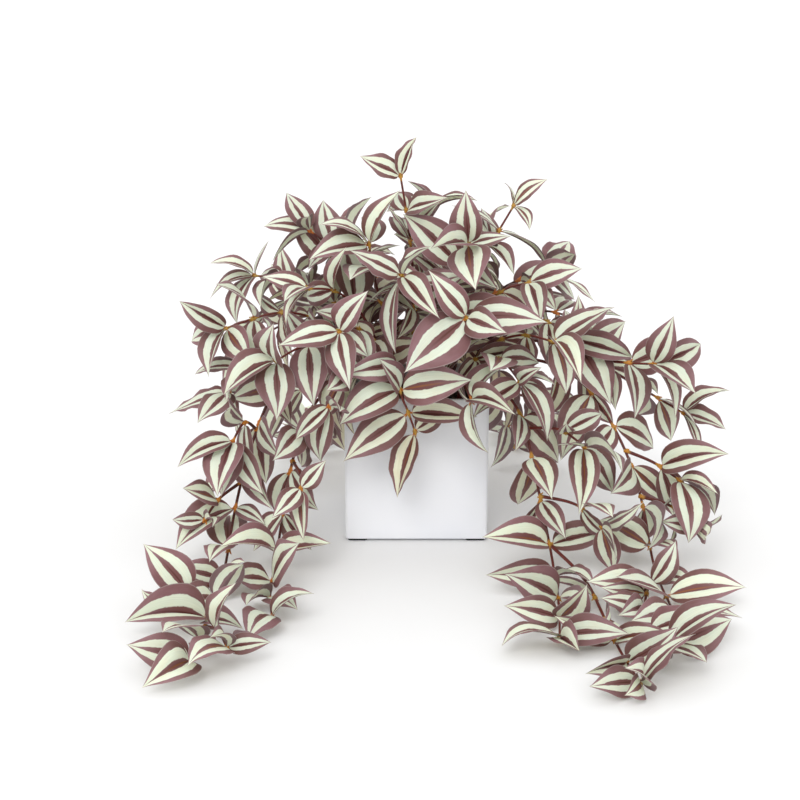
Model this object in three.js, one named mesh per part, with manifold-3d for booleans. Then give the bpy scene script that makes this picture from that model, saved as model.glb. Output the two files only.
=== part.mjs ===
// A potted tradescantia: a square cover pot on four feet, soil, and leafy shoots that arch out of
// it, over the rim and down to the surface that the pot stands on.
// Millimetres, +z up. The plant is laid out around the pot's middle, on the surface, seen from -y.

import * as THREE from 'three';
import { mergeVertices } from 'three/addons/utils/BufferGeometryUtils.js';
import Module from 'manifold-3d';

const pot = { width: 130, height: 133.3, wall: 3.5, base: 5, corner: 3, edge: 1.2 };
const foot = { width: 17.5, height: 2.2, corner: 2.5, inset: 2.2 };
const soil = { top: 119, gap: 0.3, rootDepth: 14 };
const stem = { radius: 1.2, sides: 4, gap: 0.35, cornerCut: 0.25 };
// stalk, broad and widest are places along the leaf, 0 to 1; sunk is how far its start lies past
// the middle of the stem, as a share of the stem's radius.
const blade = {
  thickness: 1.0, clearance: 2, stalk: 0.06, broad: 0.44, widest: 0.4, taper: 1.35, stalkHalf: 1.1,
  ratio: 0.58, sunk: 0.9,
};
// Leaves at a joint and at a stem's end, the turn from joint to joint and from shoot to shoot, and
// how a leaf finds its room: tries, the shrink of the late ones, and its space off floor and pot.
const growth = {
  atJoint: 2, atEnd: 4, turn: 137.5, shootTurn: 67, tries: 26, shrinkAfter: 10, shrink: 0.8,
  floor: 0.8, slack: 2,
};
// How leaves stand: angles in degrees, ranges as their two ends, and how far tries wander.
const habit = {
  spreadAtJoint: 62, spreadAtEnd: 50, spreadRange: 34, angleRange: 50, droop: 0.38,
  roll: 64, rollToTip: 36, twist: 56, bend: [0.25, 1.2], fold: [4, 48], ratio: [0.84, 1.16],
  size: [0.66, 1.16], wander: 0.16, jitter: 0.09,
};
// Leaves near the surface lie along it: below this height their rise is held in a range.
const low = { height: 45, rise: [0.14, 0.5], up: 1.3 };
// What an upper side faces: out from the heart, to its tip and, up to a depth, to the light.
const facing = { light: 0.8, tip: 0.35, front: 0.5, depth: 90, least: 0.05 };
const light = new THREE.Vector3(0, -0.85, 0.53);
const heart = new THREE.Vector3(0, 25, 60);

const rootZ = soil.top - soil.rootDepth;
const rimZ = foot.height + pot.height;

// Each shoot: its name, where it starts, the points its stem bends through, and how it is leafed:
// bare is the length before its first joint, step the length between joints and size the length of
// a leaf, where they differ from the usual. stars give the tips of the leaves at one joint, by its
// place along the stem, 0 to 1. A shoot starts in the soil, or on the side of the one named in from.
const usual = { bare: 62, step: 27, size: 61, stars: [] };
const twig = { bare: 19, step: 24, size: 57 };
const shoots = [
  { name: 'top_sprig', step: 32, size: 48,
    path: [[0, -4, rootZ], [-2, -8, 190], [-4, -11, 265], [-15, -15, 331]],
    stars: [{ at: 1, tips: [[-51, -22, 346], [-1, -10, 364], [-22, 6, 352]] },
      { at: 0.73, tips: [[20, -26, 310], [-26, -30, 302], [34, -44, 256], [-20, 24, 290]] }] },
  { name: 'top_left_sprig', step: 28, size: 52,
    path: [[-12, -5, rootZ], [-20, -12, 175], [-36, -24, 225], [-43, -30, 272]],
    stars: [{ at: 1, tips: [[-15, -40, 320], [-80, -34, 302], [-96, -52, 262], [-46, 8, 318]] },
      { at: 0.86, tips: [[8, -60, 238], [-62, -86, 250]] }] },
  { name: 'top_right_sprig', size: 54,
    path: [[13, 4, rootZ], [24, 7, 178], [58, 9, 245], [90, 10, 300]],
    stars: [{ at: 1, tips: [[118, 2, 324], [110, -8, 292], [98, 32, 320]] },
      { at: 0.8, tips: [[44, -24, 284], [100, -28, 260], [60, 42, 290]] }] },
  { name: 'star_front_right',
    path: [[11, -16, rootZ], [18, -34, 175], [32, -74, 220], [43, -105, 219]],
    stars: [{ at: 1, tips: [[-12, -124, 176], [111, -116, 219], [8, -110, 261], [68, -90, 272],
      [76, -132, 206]] }] },
  { name: 'star_front_left', step: 28,
    path: [[-14, -17, rootZ], [-26, -34, 170], [-52, -74, 206], [-69, -96, 205]],
    stars: [{ at: 1, tips: [[-44, -102, 245], [-119, -106, 192], [-106, -108, 224], [-60, -124, 160],
      [-36, -112, 182]] }] },
  { name: 'front_sprig', bare: 200,
    path: [[-4, -36, rootZ], [-10, -56, 152], [-18, -88, 178], [-15, -98, 150], [-8, -96, 134],
      [-1, -90, 111]],
    stars: [{ at: 0.56, tips: [[-65, -111, 171]] },
      { at: 0.72, tips: [[-70, -106, 126], [48, -108, 162], [-24, -124, 200], [16, -124, 190]] },
      { at: 0.87, tips: [[-65, -106, 91], [53, -102, 131]] },
      { at: 1, tips: [[-17, -98, 54], [34, -108, 146]] }] },
  { name: 'star_right', step: 30,
    path: [[22, -26, rootZ], [36, -46, 160], [70, -78, 184], [91, -98, 159]],
    stars: [{ at: 1, tips: [[48, -114, 134], [99, -110, 107], [126, -104, 106], [130, -114, 158],
      [112, -100, 192]] }] },
  { name: 'right_high', step: 28, size: 50,
    path: [[24, -8, rootZ], [38, -11, 178], [74, -16, 226], [104, -20, 233]],
    stars: [{ at: 1, tips: [[149, -26, 247], [143, -34, 225], [116, -52, 200], [130, -4, 266]] }] },
  { name: 'right_middle', bare: 90,
    path: [[36, -7, rootZ], [58, -12, 175], [110, -28, 208], [141, -40, 183]],
    stars: [{ at: 1, tips: [[144, -40, 226], [198, -52, 176], [164, -22, 216], [172, -72, 132]] }] },
  { name: 'left_high', bare: 80, size: 50,
    path: [[-24, 2, rootZ], [-46, 4, 182], [-100, 9, 228], [-152, 11, 233]],
    stars: [{ at: 1, tips: [[-190, 6, 246], [-190, 0, 214], [-166, -18, 194], [-146, 28, 264]] }] },
  { name: 'left_far', bare: 90, size: 56,
    path: [[-36, -7, rootZ], [-62, -12, 184], [-118, -26, 212], [-174, -40, 194]],
    stars: [{ at: 1, tips: [[-213, -40, 220], [-184, -62, 156], [-208, -30, 176], [-150, -72, 172]] }] },

  { name: 'crown_front', path: [[-1, -20, rootZ], [-2, -32, 190], [-6, -54, 240], [-14, -80, 252]] },
  { name: 'crown_front_right', path: [[12, -5, rootZ], [20, -14, 190], [36, -36, 250], [46, -56, 276]] },
  { name: 'crown_front_left', path: [[-22, -8, rootZ], [-34, -18, 180], [-66, -44, 232], [-98, -62, 236]] },
  { name: 'crown_left', path: [[-32, -16, rootZ], [-52, -28, 168], [-96, -56, 188], [-126, -72, 172]],
    stars: [{ at: 1, tips: [[-172, -84, 146], [-130, -104, 128], [-112, -112, 206]] },
      { at: 0.78, tips: [[-88, -96, 138], [-118, -58, 216]] }] },
  { name: 'crown_right', path: [[33, -16, rootZ], [52, -28, 170], [92, -56, 196], [122, -74, 190]] },
  { name: 'crown_left_top', step: 30, size: 50,
    path: [[-12, 7, rootZ], [-20, 10, 190], [-48, 16, 232], [-84, 22, 250]] },
  { name: 'crown_right_top', size: 54,
    path: [[24, 6, rootZ], [40, 9, 182], [80, 16, 224], [124, 24, 234]] },
  { name: 'crown_top_left', bare: 90, step: 26, size: 46,
    path: [[-22, 14, rootZ], [-34, 14, 190], [-66, 14, 252], [-100, 12, 276]] },
  { name: 'crown_top_back', step: 32, size: 52,
    path: [[2, 8, rootZ], [4, 14, 200], [8, 30, 260], [14, 44, 290]] },
  { name: 'crown_back_left', path: [[-14, 19, rootZ], [-24, 32, 190], [-46, 62, 236], [-62, 92, 244]] },
  { name: 'crown_back_right', path: [[13, 18, rootZ], [22, 32, 190], [42, 62, 236], [58, 94, 244]] },
  { name: 'crown_back', path: [[0, 30, rootZ], [0, 50, 170], [-2, 90, 200], [-4, 128, 186]] },
  { name: 'crown_left_side', path: [[-36, 6, rootZ], [-62, 12, 170], [-112, 28, 190], [-146, 44, 168]] },
  { name: 'crown_right_side', path: [[36, 8, rootZ], [62, 14, 174], [116, 30, 200], [158, 42, 182]] },
  { name: 'crown_left_back', path: [[-28, 20, rootZ], [-46, 34, 178], [-90, 68, 206], [-122, 96, 192]] },
  { name: 'crown_right_back', path: [[28, 20, rootZ], [46, 36, 178], [88, 70, 206], [120, 98, 190]] },
  { name: 'rim_left', path: [[-26, -28, rootZ], [-42, -50, 150], [-62, -84, 168], [-78, -104, 138]] },
  { name: 'rim_back_left', path: [[-10, 38, rootZ], [-18, 60, 150], [-34, 94, 170], [-48, 112, 142]] },
  { name: 'rim_back_right', path: [[8, 38, rootZ], [14, 60, 150], [30, 96, 168], [44, 112, 138]] },
  { name: 'rim_right', path: [[10, -38, rootZ], [16, -58, 150], [34, -92, 172], [48, -112, 146]] },

  { name: 'left_trail', bare: 100, step: 40, size: 60,
    path: [[-42, -18, rootZ], [-74, -30, 172], [-122, -50, 158], [-148, -78, 100], [-162, -112, 44],
      [-166, -148, 9], [-168, -205, 5], [-170, -270, 5], [-174, -336, 6]],
    stars: [{ at: 1, tips: [[-202, -384, 9], [-166, -396, 8], [-220, -340, 22], [-144, -372, 26]] }] },
  { name: 'left_inner_trail', bare: 80, step: 38, size: 58,
    path: [[-38, -32, rootZ], [-66, -56, 152], [-98, -80, 132], [-114, -100, 74], [-121, -124, 26],
      [-124, -156, 6], [-124, -205, 5], [-118, -252, 6]],
    stars: [{ at: 1, tips: [[-136, -300, 9], [-98, -298, 10], [-152, -272, 24], [-108, -282, 40]] }] },
  { name: 'left_low_branch', from: 'left_trail', at: 0.24, ...twig, size: 54,
    path: [[-136, -36, 172], [-156, -46, 160], [-170, -58, 138]] },
  { name: 'left_upper_twig', from: 'left_trail', at: 0.36, ...twig, size: 56,
    path: [[-152, -92, 126], [-162, -110, 108]] },
  { name: 'left_middle_twig', from: 'left_trail', at: 0.46, ...twig, size: 53,
    path: [[-176, -112, 58], [-186, -134, 44]] },
  { name: 'left_floor_twig', from: 'left_trail', at: 0.68, ...twig, size: 50,
    path: [[-186, -226, 18], [-196, -254, 14]] },
  { name: 'left_end_twig', from: 'left_trail', at: 0.86, ...twig, size: 48,
    path: [[-156, -296, 16], [-146, -326, 12]] },
  { name: 'left_inner_twig', from: 'left_inner_trail', at: 0.42, ...twig, size: 48,
    path: [[-100, -124, 84], [-101, -138, 74]],
    stars: [{ at: 1, tips: [[-97, -158, 36], [-117, -164, 54], [-78, -132, 100]] }] },

  { name: 'right_far', bare: 110, size: 56,
    path: [[44, -2, rootZ], [78, -8, 176], [134, -20, 178], [190, -30, 146], [246, -40, 114]],
    stars: [{ at: 1, tips: [[282, -52, 104], [303, -44, 110], [256, -66, 80], [270, -42, 142]] }] },
  { name: 'right_far_twig', from: 'right_far', at: 0.62, ...twig,
    path: [[186, -60, 168], [212, -72, 170]] },
  { name: 'right_outer_trail', bare: 96, step: 38, size: 58,
    path: [[42, -16, rootZ], [74, -26, 168], [142, -50, 162], [182, -78, 106], [200, -108, 54],
      [204, -142, 12], [206, -192, 5], [208, -248, 6]] },
  { name: 'right_outer_twig', from: 'right_outer_trail', at: 0.52, ...twig,
    path: [[210, -100, 88], [230, -124, 78]] },
  { name: 'right_outer_side', from: 'right_outer_trail', at: 0.62, ...twig, size: 50,
    path: [[224, -122, 56], [240, -144, 42]] },
  { name: 'right_outer_low', from: 'right_outer_trail', at: 0.8, ...twig, size: 50,
    path: [[188, -220, 16], [182, -248, 12]] },
  { name: 'right_trail', bare: 80, step: 40, size: 60,
    path: [[36, -30, rootZ], [60, -50, 150], [92, -78, 136], [106, -104, 70], [116, -132, 22],
      [118, -164, 6], [116, -226, 5], [110, -292, 6]] },
  { name: 'right_upper_twig', from: 'right_trail', at: 0.3, ...twig,
    path: [[126, -106, 122], [146, -124, 108]] },
  { name: 'right_middle_twig', from: 'right_trail', at: 0.46, ...twig,
    path: [[140, -134, 62], [160, -150, 44]] },
  { name: 'right_floor_branch', from: 'right_trail', at: 0.575, bare: 34, step: 38, size: 60,
    path: [[142, -188, 14], [150, -250, 5], [154, -312, 5], [162, -372, 6]] },
  { name: 'right_end_twig', from: 'right_floor_branch', at: 0.63, ...twig,
    path: [[176, -292, 16], [192, -320, 12]] },

  { name: 'back_left_trail', bare: 90, step: 38,
    path: [[-20, 36, rootZ], [-40, 66, 160], [-66, 106, 150], [-84, 140, 80], [-94, 168, 16],
      [-104, 206, 5], [-118, 246, 6]] },
  { name: 'back_right_trail', bare: 90, step: 38,
    path: [[20, 36, rootZ], [40, 66, 160], [70, 104, 146], [92, 136, 70], [104, 164, 14],
      [112, 204, 5], [110, 242, 6]] },
  { name: 'back_left_twig', from: 'back_left_trail', at: 0.52, ...twig,
    path: [[-112, 138, 92], [-134, 150, 72]] },
  { name: 'back_right_twig', from: 'back_right_trail', at: 0.52, ...twig,
    path: [[118, 128, 84], [140, 138, 62]] },
].map((shoot) => ({ ...usual, ...shoot }));

const finishes = {
  pot: new THREE.MeshStandardMaterial({ color: 0xf1f1ef, roughness: 0.45, metalness: 0 }),
  foot: new THREE.MeshStandardMaterial({ color: 0x1c1c1c, roughness: 0.85, metalness: 0 }),
  soil: new THREE.MeshStandardMaterial({ color: 0x3d2c20, roughness: 1, metalness: 0 }),
  leaf: new THREE.MeshStandardMaterial({ color: 0xa78f86, roughness: 0.55, metalness: 0 }),
};

const wasm = await Module();
wasm.setup();

function solidOf(geometry) {
  const open = geometry.index ? geometry.toNonIndexed() : geometry.clone();
  open.deleteAttribute('normal');
  open.deleteAttribute('uv');
  const merged = mergeVertices(open, 1e-4);
  return new wasm.Manifold(new wasm.Mesh({
    numProp: 3,
    vertProperties: merged.attributes.position.array,
    triVerts: new Uint32Array(merged.index.array),
  }));
}

function geometryOf(solid) {
  const mesh = solid.getMesh();
  const geometry = new THREE.BufferGeometry();
  geometry.setAttribute('position', new THREE.BufferAttribute(mesh.vertProperties, 3));
  geometry.setIndex(new THREE.BufferAttribute(mesh.triVerts, 1));
  return geometry;
}

// ---------- The pot, its feet and the soil ----------

function roundedSquare(width, corner) {
  const half = width / 2;
  const shape = new THREE.Shape();
  [[1, 1], [-1, 1], [-1, -1], [1, -1]].forEach(([x, y], turn) => {
    const start = (turn * Math.PI) / 2;
    shape.absarc(x * (half - corner), y * (half - corner), corner, start, start + Math.PI / 2);
  });
  return shape;
}

function slab(width, corner, bottom, top, edge = 0) {
  const geometry = new THREE.ExtrudeGeometry(roundedSquare(width - 2 * edge, corner), {
    depth: top - bottom - 2 * edge,
    curveSegments: 2,
    bevelEnabled: edge > 0,
    bevelSize: edge,
    bevelThickness: edge,
    bevelSegments: 1,
  });
  return geometry.translate(0, 0, bottom + edge);
}

function potGeometry() {
  const outside = solidOf(slab(pot.width, pot.corner, foot.height, rimZ, pot.edge));
  const inner = pot.width - 2 * pot.wall;
  const hollow = solidOf(slab(inner, pot.corner, foot.height + pot.base, rimZ + pot.wall));
  return geometryOf(outside.subtract(hollow));
}

function footGeometry() {
  return slab(foot.width, foot.corner, 0, foot.height);
}

// ---------- Stems ----------

const vectors = (points) => points.map((point) => new THREE.Vector3(...point));

// Cuts the corners of a bent line, so that it turns more gently between its two ends.
function smooth(points) {
  const last = points.length - 2;
  return [points[0], ...points.slice(0, -1).flatMap((point, i) => {
    const near = i > 0 ? [point.clone().lerp(points[i + 1], stem.cornerCut)] : [];
    const far = i < last ? [point.clone().lerp(points[i + 1], 1 - stem.cornerCut)] : [];
    return [...near, ...far];
  }), points.at(-1)];
}

// A curve through the points of a line, one span to each step.
class LineCurve extends THREE.Curve {
  constructor(line) {
    super();
    this.line = line;
  }

  getPoint(t, target = new THREE.Vector3()) {
    const place = THREE.MathUtils.clamp(t, 0, 1) * (this.line.length - 1);
    const i = Math.min(Math.floor(place), this.line.length - 2);
    return target.lerpVectors(this.line[i], this.line[i + 1], place - i);
  }

  getPointAt(t, target) {
    return this.getPoint(t, target);
  }
}

function lengthOf(line) {
  let total = 0;
  for (let i = 1; i < line.length; i += 1) total += line[i].distanceTo(line[i - 1]);
  return total;
}

// The point and the direction of a line at a distance from its start.
function along(line, distance) {
  let left = distance;
  for (let i = 1; i < line.length; i += 1) {
    const span = line[i].distanceTo(line[i - 1]);
    if (left <= span || i === line.length - 1) {
      const way = line[i].clone().sub(line[i - 1]).normalize();
      return { point: line[i - 1].clone().addScaledVector(way, Math.min(left, span)), way };
    }
    left -= span;
  }
  return null;
}

// A side shoot's first point lies just clear of the stem that carries it.
function stemLine(shoot, lines) {
  const points = vectors(shoot.path);
  if (shoot.from) {
    const carrier = lines.get(shoot.from);
    const { point } = along(carrier, lengthOf(carrier) * shoot.at);
    const out = points[0].clone().sub(point).normalize();
    points.unshift(point.addScaledVector(out, stem.radius * 2 + stem.gap));
  }
  return smooth(points);
}

function stemSolid(line, extra) {
  const corner = new THREE.Vector2(stem.radius + extra, 0);
  const middle = new THREE.Vector2();
  const section = new THREE.Shape(Array.from({ length: stem.sides }, (_, side) => (
    corner.clone().rotateAround(middle, (side * 2 * Math.PI) / stem.sides))));
  const ends = line.map((point) => point.clone());
  ends[0].addScaledVector(along(line, 0).way, -extra);
  ends.at(-1).addScaledVector(along(line, lengthOf(line)).way, extra);
  const geometry = new THREE.ExtrudeGeometry(section, {
    steps: ends.length - 1,
    extrudePath: new LineCurve(ends),
  });
  return solidOf(geometry);
}

// ---------- Leaves ----------

// A row of numbers from 0 to 1 that is the same on every run.
function draws(seed) {
  let state = (Math.imul(seed, 2654435761) + 12345) >>> 0;
  return () => {
    state = (Math.imul(state, 1664525) + 1013904223) >>> 0;
    return state / 4294967296;
  };
}

// Half the width of a blade along it, as a share of its widest: round at the base, drawn out
// to a fine tip.
function outline(s) {
  if (s < blade.stalk) return 0;
  const base = (blade.widest - s) / (blade.widest - blade.stalk);
  if (s < blade.widest) return Math.sqrt(1 - base ** 2);
  const u = Math.min(1, (s - blade.widest) / (1 - blade.widest));
  return (1 - u) ** blade.taper * (1 + blade.taper * u);
}

// A leaf runs from its joint to its tip. Its middle line bends towards its underside, its halves
// fold up from that line, and it twists a little on the way.
function leafTo(joint, tip, facing, shape) {
  const chord = tip.clone().sub(joint);
  const reach = chord.length();
  const u = chord.divideScalar(reach);
  const n = facing.clone().addScaledVector(u, -facing.dot(u)).normalize().applyAxisAngle(u, shape.roll);
  const half = shape.bend / 2;
  const way = u.clone().multiplyScalar(Math.cos(half)).addScaledVector(n, Math.sin(half));
  const up = n.clone().multiplyScalar(Math.cos(half)).addScaledVector(u, -Math.sin(half));
  const side = new THREE.Vector3().crossVectors(way, up);
  const length = (reach * half) / Math.sin(half);
  return { joint, way, up, side, length, width: length * shape.ratio, ...shape };
}

// A point of a leaf: s from base to tip, across from -1 to 1, lifted off the middle of the blade.
function leafPoint(leaf, s, across, lift) {
  const turn = leaf.bend * s;
  const forward = (leaf.length * Math.sin(turn)) / leaf.bend;
  const drop = (leaf.length * (1 - Math.cos(turn))) / leaf.bend;
  const up = leaf.up.clone().multiplyScalar(Math.cos(turn)).addScaledVector(leaf.way, Math.sin(turn));
  const half = Math.max((leaf.width / 2) * outline(s), blade.stalkHalf * (1 - s));
  const lean = leaf.twist * s;
  const side = leaf.side.clone().multiplyScalar(Math.cos(lean)).addScaledVector(up, Math.sin(lean));
  const over = up.clone().multiplyScalar(Math.cos(lean)).addScaledVector(leaf.side, -Math.sin(lean));
  return leaf.joint.clone()
    .addScaledVector(leaf.way, forward)
    .addScaledVector(leaf.up, -drop)
    .addScaledVector(side, half * across * Math.cos(leaf.fold))
    .addScaledVector(over, half * Math.abs(across) * Math.sin(leaf.fold) + lift);
}

// The leaf as a closed solid, thickest on its middle line and sharp at its margins and both ends.
// It starts inside the stem, on the far side of the joint.
function leafSolid(leaf, extra) {
  const thick = blade.thickness / 2 + extra;
  const wide = 1 + (2 * extra) / leaf.width;
  const rings = [blade.stalk, blade.broad].map((s) => [
    leafPoint(leaf, s, wide, 0), leafPoint(leaf, s, 0, thick),
    leafPoint(leaf, s, -wide, 0), leafPoint(leaf, s, 0, -thick)]);
  const points = [...rings.flat(), leafPoint(leaf, (-stem.radius * blade.sunk) / leaf.length, 0, 0),
    leafPoint(leaf, 1 + extra / leaf.length, 0, 0)];
  const [start, tip] = [points.length - 2, points.length - 1];
  const faces = [];
  for (let k = 0; k < 4; k += 1) {
    const next = (k + 1) % 4;
    faces.push(k, next, start, k, k + 4, next, next, k + 4, next + 4, k + 4, tip, next + 4);
  }
  return new wasm.Manifold(new wasm.Mesh({
    numProp: 3,
    vertProperties: new Float32Array(points.flatMap((point) => point.toArray())),
    triVerts: new Uint32Array(faces),
  }));
}

// ---------- Room for each leaf ----------

const bladeTest = [0.13, 0.36, 0.6, 0.82, 1];
const wholeTest = [0.04, ...bladeTest];

function strips(rings) {
  const triangles = [];
  for (let i = 0; i < rings.length - 1; i += 1) {
    for (let k = 0; k < rings[i].length - 1; k += 1) {
      triangles.push([rings[i][k], rings[i + 1][k], rings[i][k + 1]]);
      triangles.push([rings[i][k + 1], rings[i + 1][k], rings[i + 1][k + 1]]);
    }
  }
  return triangles;
}

function boxed(triangles) {
  return {
    box: new THREE.Box3().setFromPoints(triangles.flat()),
    triangles: triangles.map((corners) => ({ corners, box: new THREE.Box3().setFromPoints(corners) })),
  };
}

function middleOf(leaf) {
  return boxed(strips(bladeTest.map((s) => [1, 0, -1].map((across) => leafPoint(leaf, s, across, 0)))));
}

// The space that a leaf wants for itself: its blade, thickened both ways.
function shellOf(leaf, stations) {
  const round = [[1, 1], [0, 1], [-1, 1], [-1, -1], [0, -1], [1, -1], [1, 1]];
  return boxed(strips(stations.map((s) => round.map(([across, lift]) => (
    leafPoint(leaf, s, across, lift * blade.clearance))))));
}

// A thin strip that stands for a stem, or for an edge of the pot's rim.
const ribbonSide = new THREE.Vector3(0.4, 0.4, 0.4);

function ribbon(a, b) {
  return boxed(strips([[a, a.clone().add(ribbonSide)], [b, b.clone().add(ribbonSide)]]));
}

const edge = new THREE.Vector3();
const hit = new THREE.Vector3();
const ray = new THREE.Ray();

function cuts(from, to, corners) {
  edge.subVectors(to, from);
  const reach = edge.length();
  ray.set(from, edge.divideScalar(reach));
  return ray.intersectTriangle(...corners, false, hit) !== null && hit.distanceTo(from) <= reach;
}

function meet(one, other) {
  if (!one.box.intersectsBox(other.box)) return false;
  return one.triangles.some((a) => a.box.intersectsBox(other.box) && other.triangles.some((b) => (
    a.box.intersectsBox(b.box) && [0, 1, 2].some((k) => (
      cuts(a.corners[k], a.corners[(k + 1) % 3], b.corners)
      || cuts(b.corners[k], b.corners[(k + 1) % 3], a.corners))))));
}

const potSide = pot.width / 2;
const inPot = (p) => Math.abs(p.x) < potSide + growth.slack && Math.abs(p.y) < potSide + growth.slack
  && p.z < rimZ + growth.slack;
const rim = [[-1, -1], [1, -1], [1, 1], [-1, 1], [-1, -1]].map(([x, y]) => (
  new THREE.Vector3(x * potSide, y * potSide, rimZ)));
const rimEdges = [0, 1, 2, 3].map((k) => ribbon(rim[k], rim[k + 1]));

// Leaves of one joint touch at its foot, so leaf is held against leaf beyond that only.
function fits(leaf, stems, blades) {
  const whole = shellOf(leaf, wholeTest);
  const clear = whole.triangles.every(({ corners }) => (
    corners.every((point) => point.z > growth.floor && !inPot(point))));
  if (!clear || [...rimEdges, ...stems].some((other) => meet(whole, other))) return false;
  const shell = shellOf(leaf, bladeTest);
  return !blades.some((other) => meet(shell, other));
}

// ---------- Leafing a shoot ----------

const degrees = (angle) => (angle * Math.PI) / 180;

const between = ([from, to], share) => from + (to - from) * share;

// A leaf's upper side faces out from the plant, more so in front towards the light, and up where
// the leaf is near the surface.
function facingAt(joint, aim) {
  const outward = joint.clone().sub(heart).normalize();
  const share = THREE.MathUtils.clamp(facing.front - joint.y / facing.depth, facing.least, 1);
  outward.z += low.up * Math.max(0, 1 - joint.z / low.height);
  return outward.addScaledVector(light, facing.light * share)
    .addScaledVector(aim.clone().normalize(), facing.tip);
}

// Where a shoot's leaves want to be: a direction from a joint, or a chosen tip.
function wishes(shoot, line, index) {
  const total = lengthOf(line) - 2 * stem.radius;
  const list = [];
  const starred = shoot.stars.map((star) => star.at * total);
  shoot.stars.forEach((star) => vectors(star.tips).forEach((tip) => {
    list.push({ ...along(line, star.at * total), tip });
  }));
  let place = total;
  for (let joint = 0; place >= shoot.bare; joint += 1) {
    const here = place;
    if (!starred.some((at) => Math.abs(at - here) < shoot.step / 2)) {
      const count = joint === 0 ? growth.atEnd : growth.atJoint;
      for (let k = 0; k < count; k += 1) {
        const angle = index * growth.shootTurn + joint * growth.turn + (k * 360) / count;
        const spread = joint === 0 ? habit.spreadAtEnd : habit.spreadAtJoint;
        list.push({ ...along(line, here), angle, spread });
      }
    }
    place -= shoot.step;
  }
  return list;
}

// Nearly upright, so that no stem runs along it.
const upright = new THREE.Vector3(0.13, 0.09, 1);

function leafTry(wish, shoot, seed, round) {
  const draw = draws(seed);
  const wander = 1 + round * habit.wander;
  const shape = {
    roll: degrees((draw() - 0.5) * (wish.tip ? habit.rollToTip : habit.roll) * wander),
    bend: between(habit.bend, draw()),
    fold: degrees(between(habit.fold, draw() ** 2)),
    twist: degrees((draw() - 0.5) * habit.twist),
    ratio: blade.ratio * between(habit.ratio, draw()),
  };
  const shrink = round < growth.shrinkAfter ? 1 : growth.shrink;
  let aim;
  if (wish.tip) {
    aim = wish.tip.clone().sub(wish.point);
    const reach = aim.length();
    const jitter = new THREE.Vector3(draw() - 0.5, draw() - 0.5, draw() - 0.5);
    aim.addScaledVector(jitter, reach * habit.jitter * round).setLength(reach * shrink);
  } else {
    const across = new THREE.Vector3().crossVectors(wish.way, upright).normalize();
    const over = new THREE.Vector3().crossVectors(across, wish.way);
    const angle = degrees(wish.angle + (draw() - 0.5) * habit.angleRange * wander);
    const spread = degrees(wish.spread + (draw() - 0.5) * habit.spreadRange * wander);
    aim = wish.way.clone().multiplyScalar(Math.cos(spread))
      .addScaledVector(across, Math.cos(angle) * Math.sin(spread))
      .addScaledVector(over, Math.sin(angle) * Math.sin(spread));
    aim.z -= habit.droop;
    if (wish.point.z < low.height) aim.z = THREE.MathUtils.clamp(aim.z, ...low.rise);
    aim.setLength(shoot.size * between(habit.size, draw()) * shrink);
  }
  const tip = wish.point.clone().add(aim);
  return leafTo(wish.point, tip, facingAt(wish.point, aim), shape);
}

// Every leaf takes the first of its tries that clears the pot, the surface, the stems and all
// leaves before it. A leaf that finds no room is left off. Each try has its own row of draws.
const seedsPerLeaf = 64;
const seedsPerShoot = 4096;

function growLeaves(lines) {
  const stems = shoots.map((shoot) => {
    const line = lines.get(shoot.name);
    return line.slice(1).map((point, i) => ribbon(line[i], point));
  });
  const taken = [];
  const leaves = new Map(shoots.map((shoot) => [shoot.name, []]));
  const all = shoots.flatMap((shoot, index) => (
    wishes(shoot, lines.get(shoot.name), index).map((wish, order) => ({ shoot, index, wish, order }))));
  const ordered = [...all.filter(({ wish }) => wish.tip), ...all.filter(({ wish }) => !wish.tip)];
  ordered.forEach(({ shoot, index, wish, order }) => {
    const others = stems.flatMap((parts, k) => (k === index ? [] : parts));
    for (let round = 0; round < growth.tries; round += 1) {
      const seed = index * seedsPerShoot + order * seedsPerLeaf + round;
      const leaf = leafTry(wish, shoot, seed, round);
      if (fits(leaf, others, taken)) {
        taken.push(middleOf(leaf));
        leaves.get(shoot.name).push(leaf);
        break;
      }
    }
  });
  return leaves;
}

// ---------- The whole plant ----------

const plant = new THREE.Group();

function place(name, geometry, material, x = 0, y = 0) {
  const mesh = new THREE.Mesh(geometry, material.clone());
  mesh.name = name;
  mesh.position.set(x, y, 0);
  plant.add(mesh);
}

function shootSolid(shoot, lines, leaves, extra) {
  return leaves.get(shoot.name).reduce(
    (whole, leaf) => whole.add(leafSolid(leaf, extra)),
    stemSolid(lines.get(shoot.name), extra),
  );
}

// What is left of a shoot where it would cut one before it: the largest piece.
function trimmed(solid, fat) {
  const pieces = solid.subtract(fat).decompose();
  return pieces.reduce((most, piece) => (piece.volume() > most.volume() ? piece : most));
}

const lines = new Map();
shoots.forEach((shoot) => lines.set(shoot.name, stemLine(shoot, lines)));
const leaves = growLeaves(lines);

let soilSolid = solidOf(slab(pot.width - 2 * (pot.wall + soil.gap), pot.corner,
  foot.height + pot.base + soil.gap, soil.top));
const grown = [];
shoots.forEach((shoot) => {
  let solid = shootSolid(shoot, lines, leaves, 0);
  grown.forEach((other) => {
    if (solid.intersect(other.solid).volume() > 0) {
      solid = trimmed(solid, shootSolid(other.shoot, lines, leaves, stem.gap));
    }
  });
  grown.push({ shoot, solid });
  if (!shoot.from) soilSolid = soilSolid.subtract(stemSolid(lines.get(shoot.name), stem.gap));
});

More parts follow.
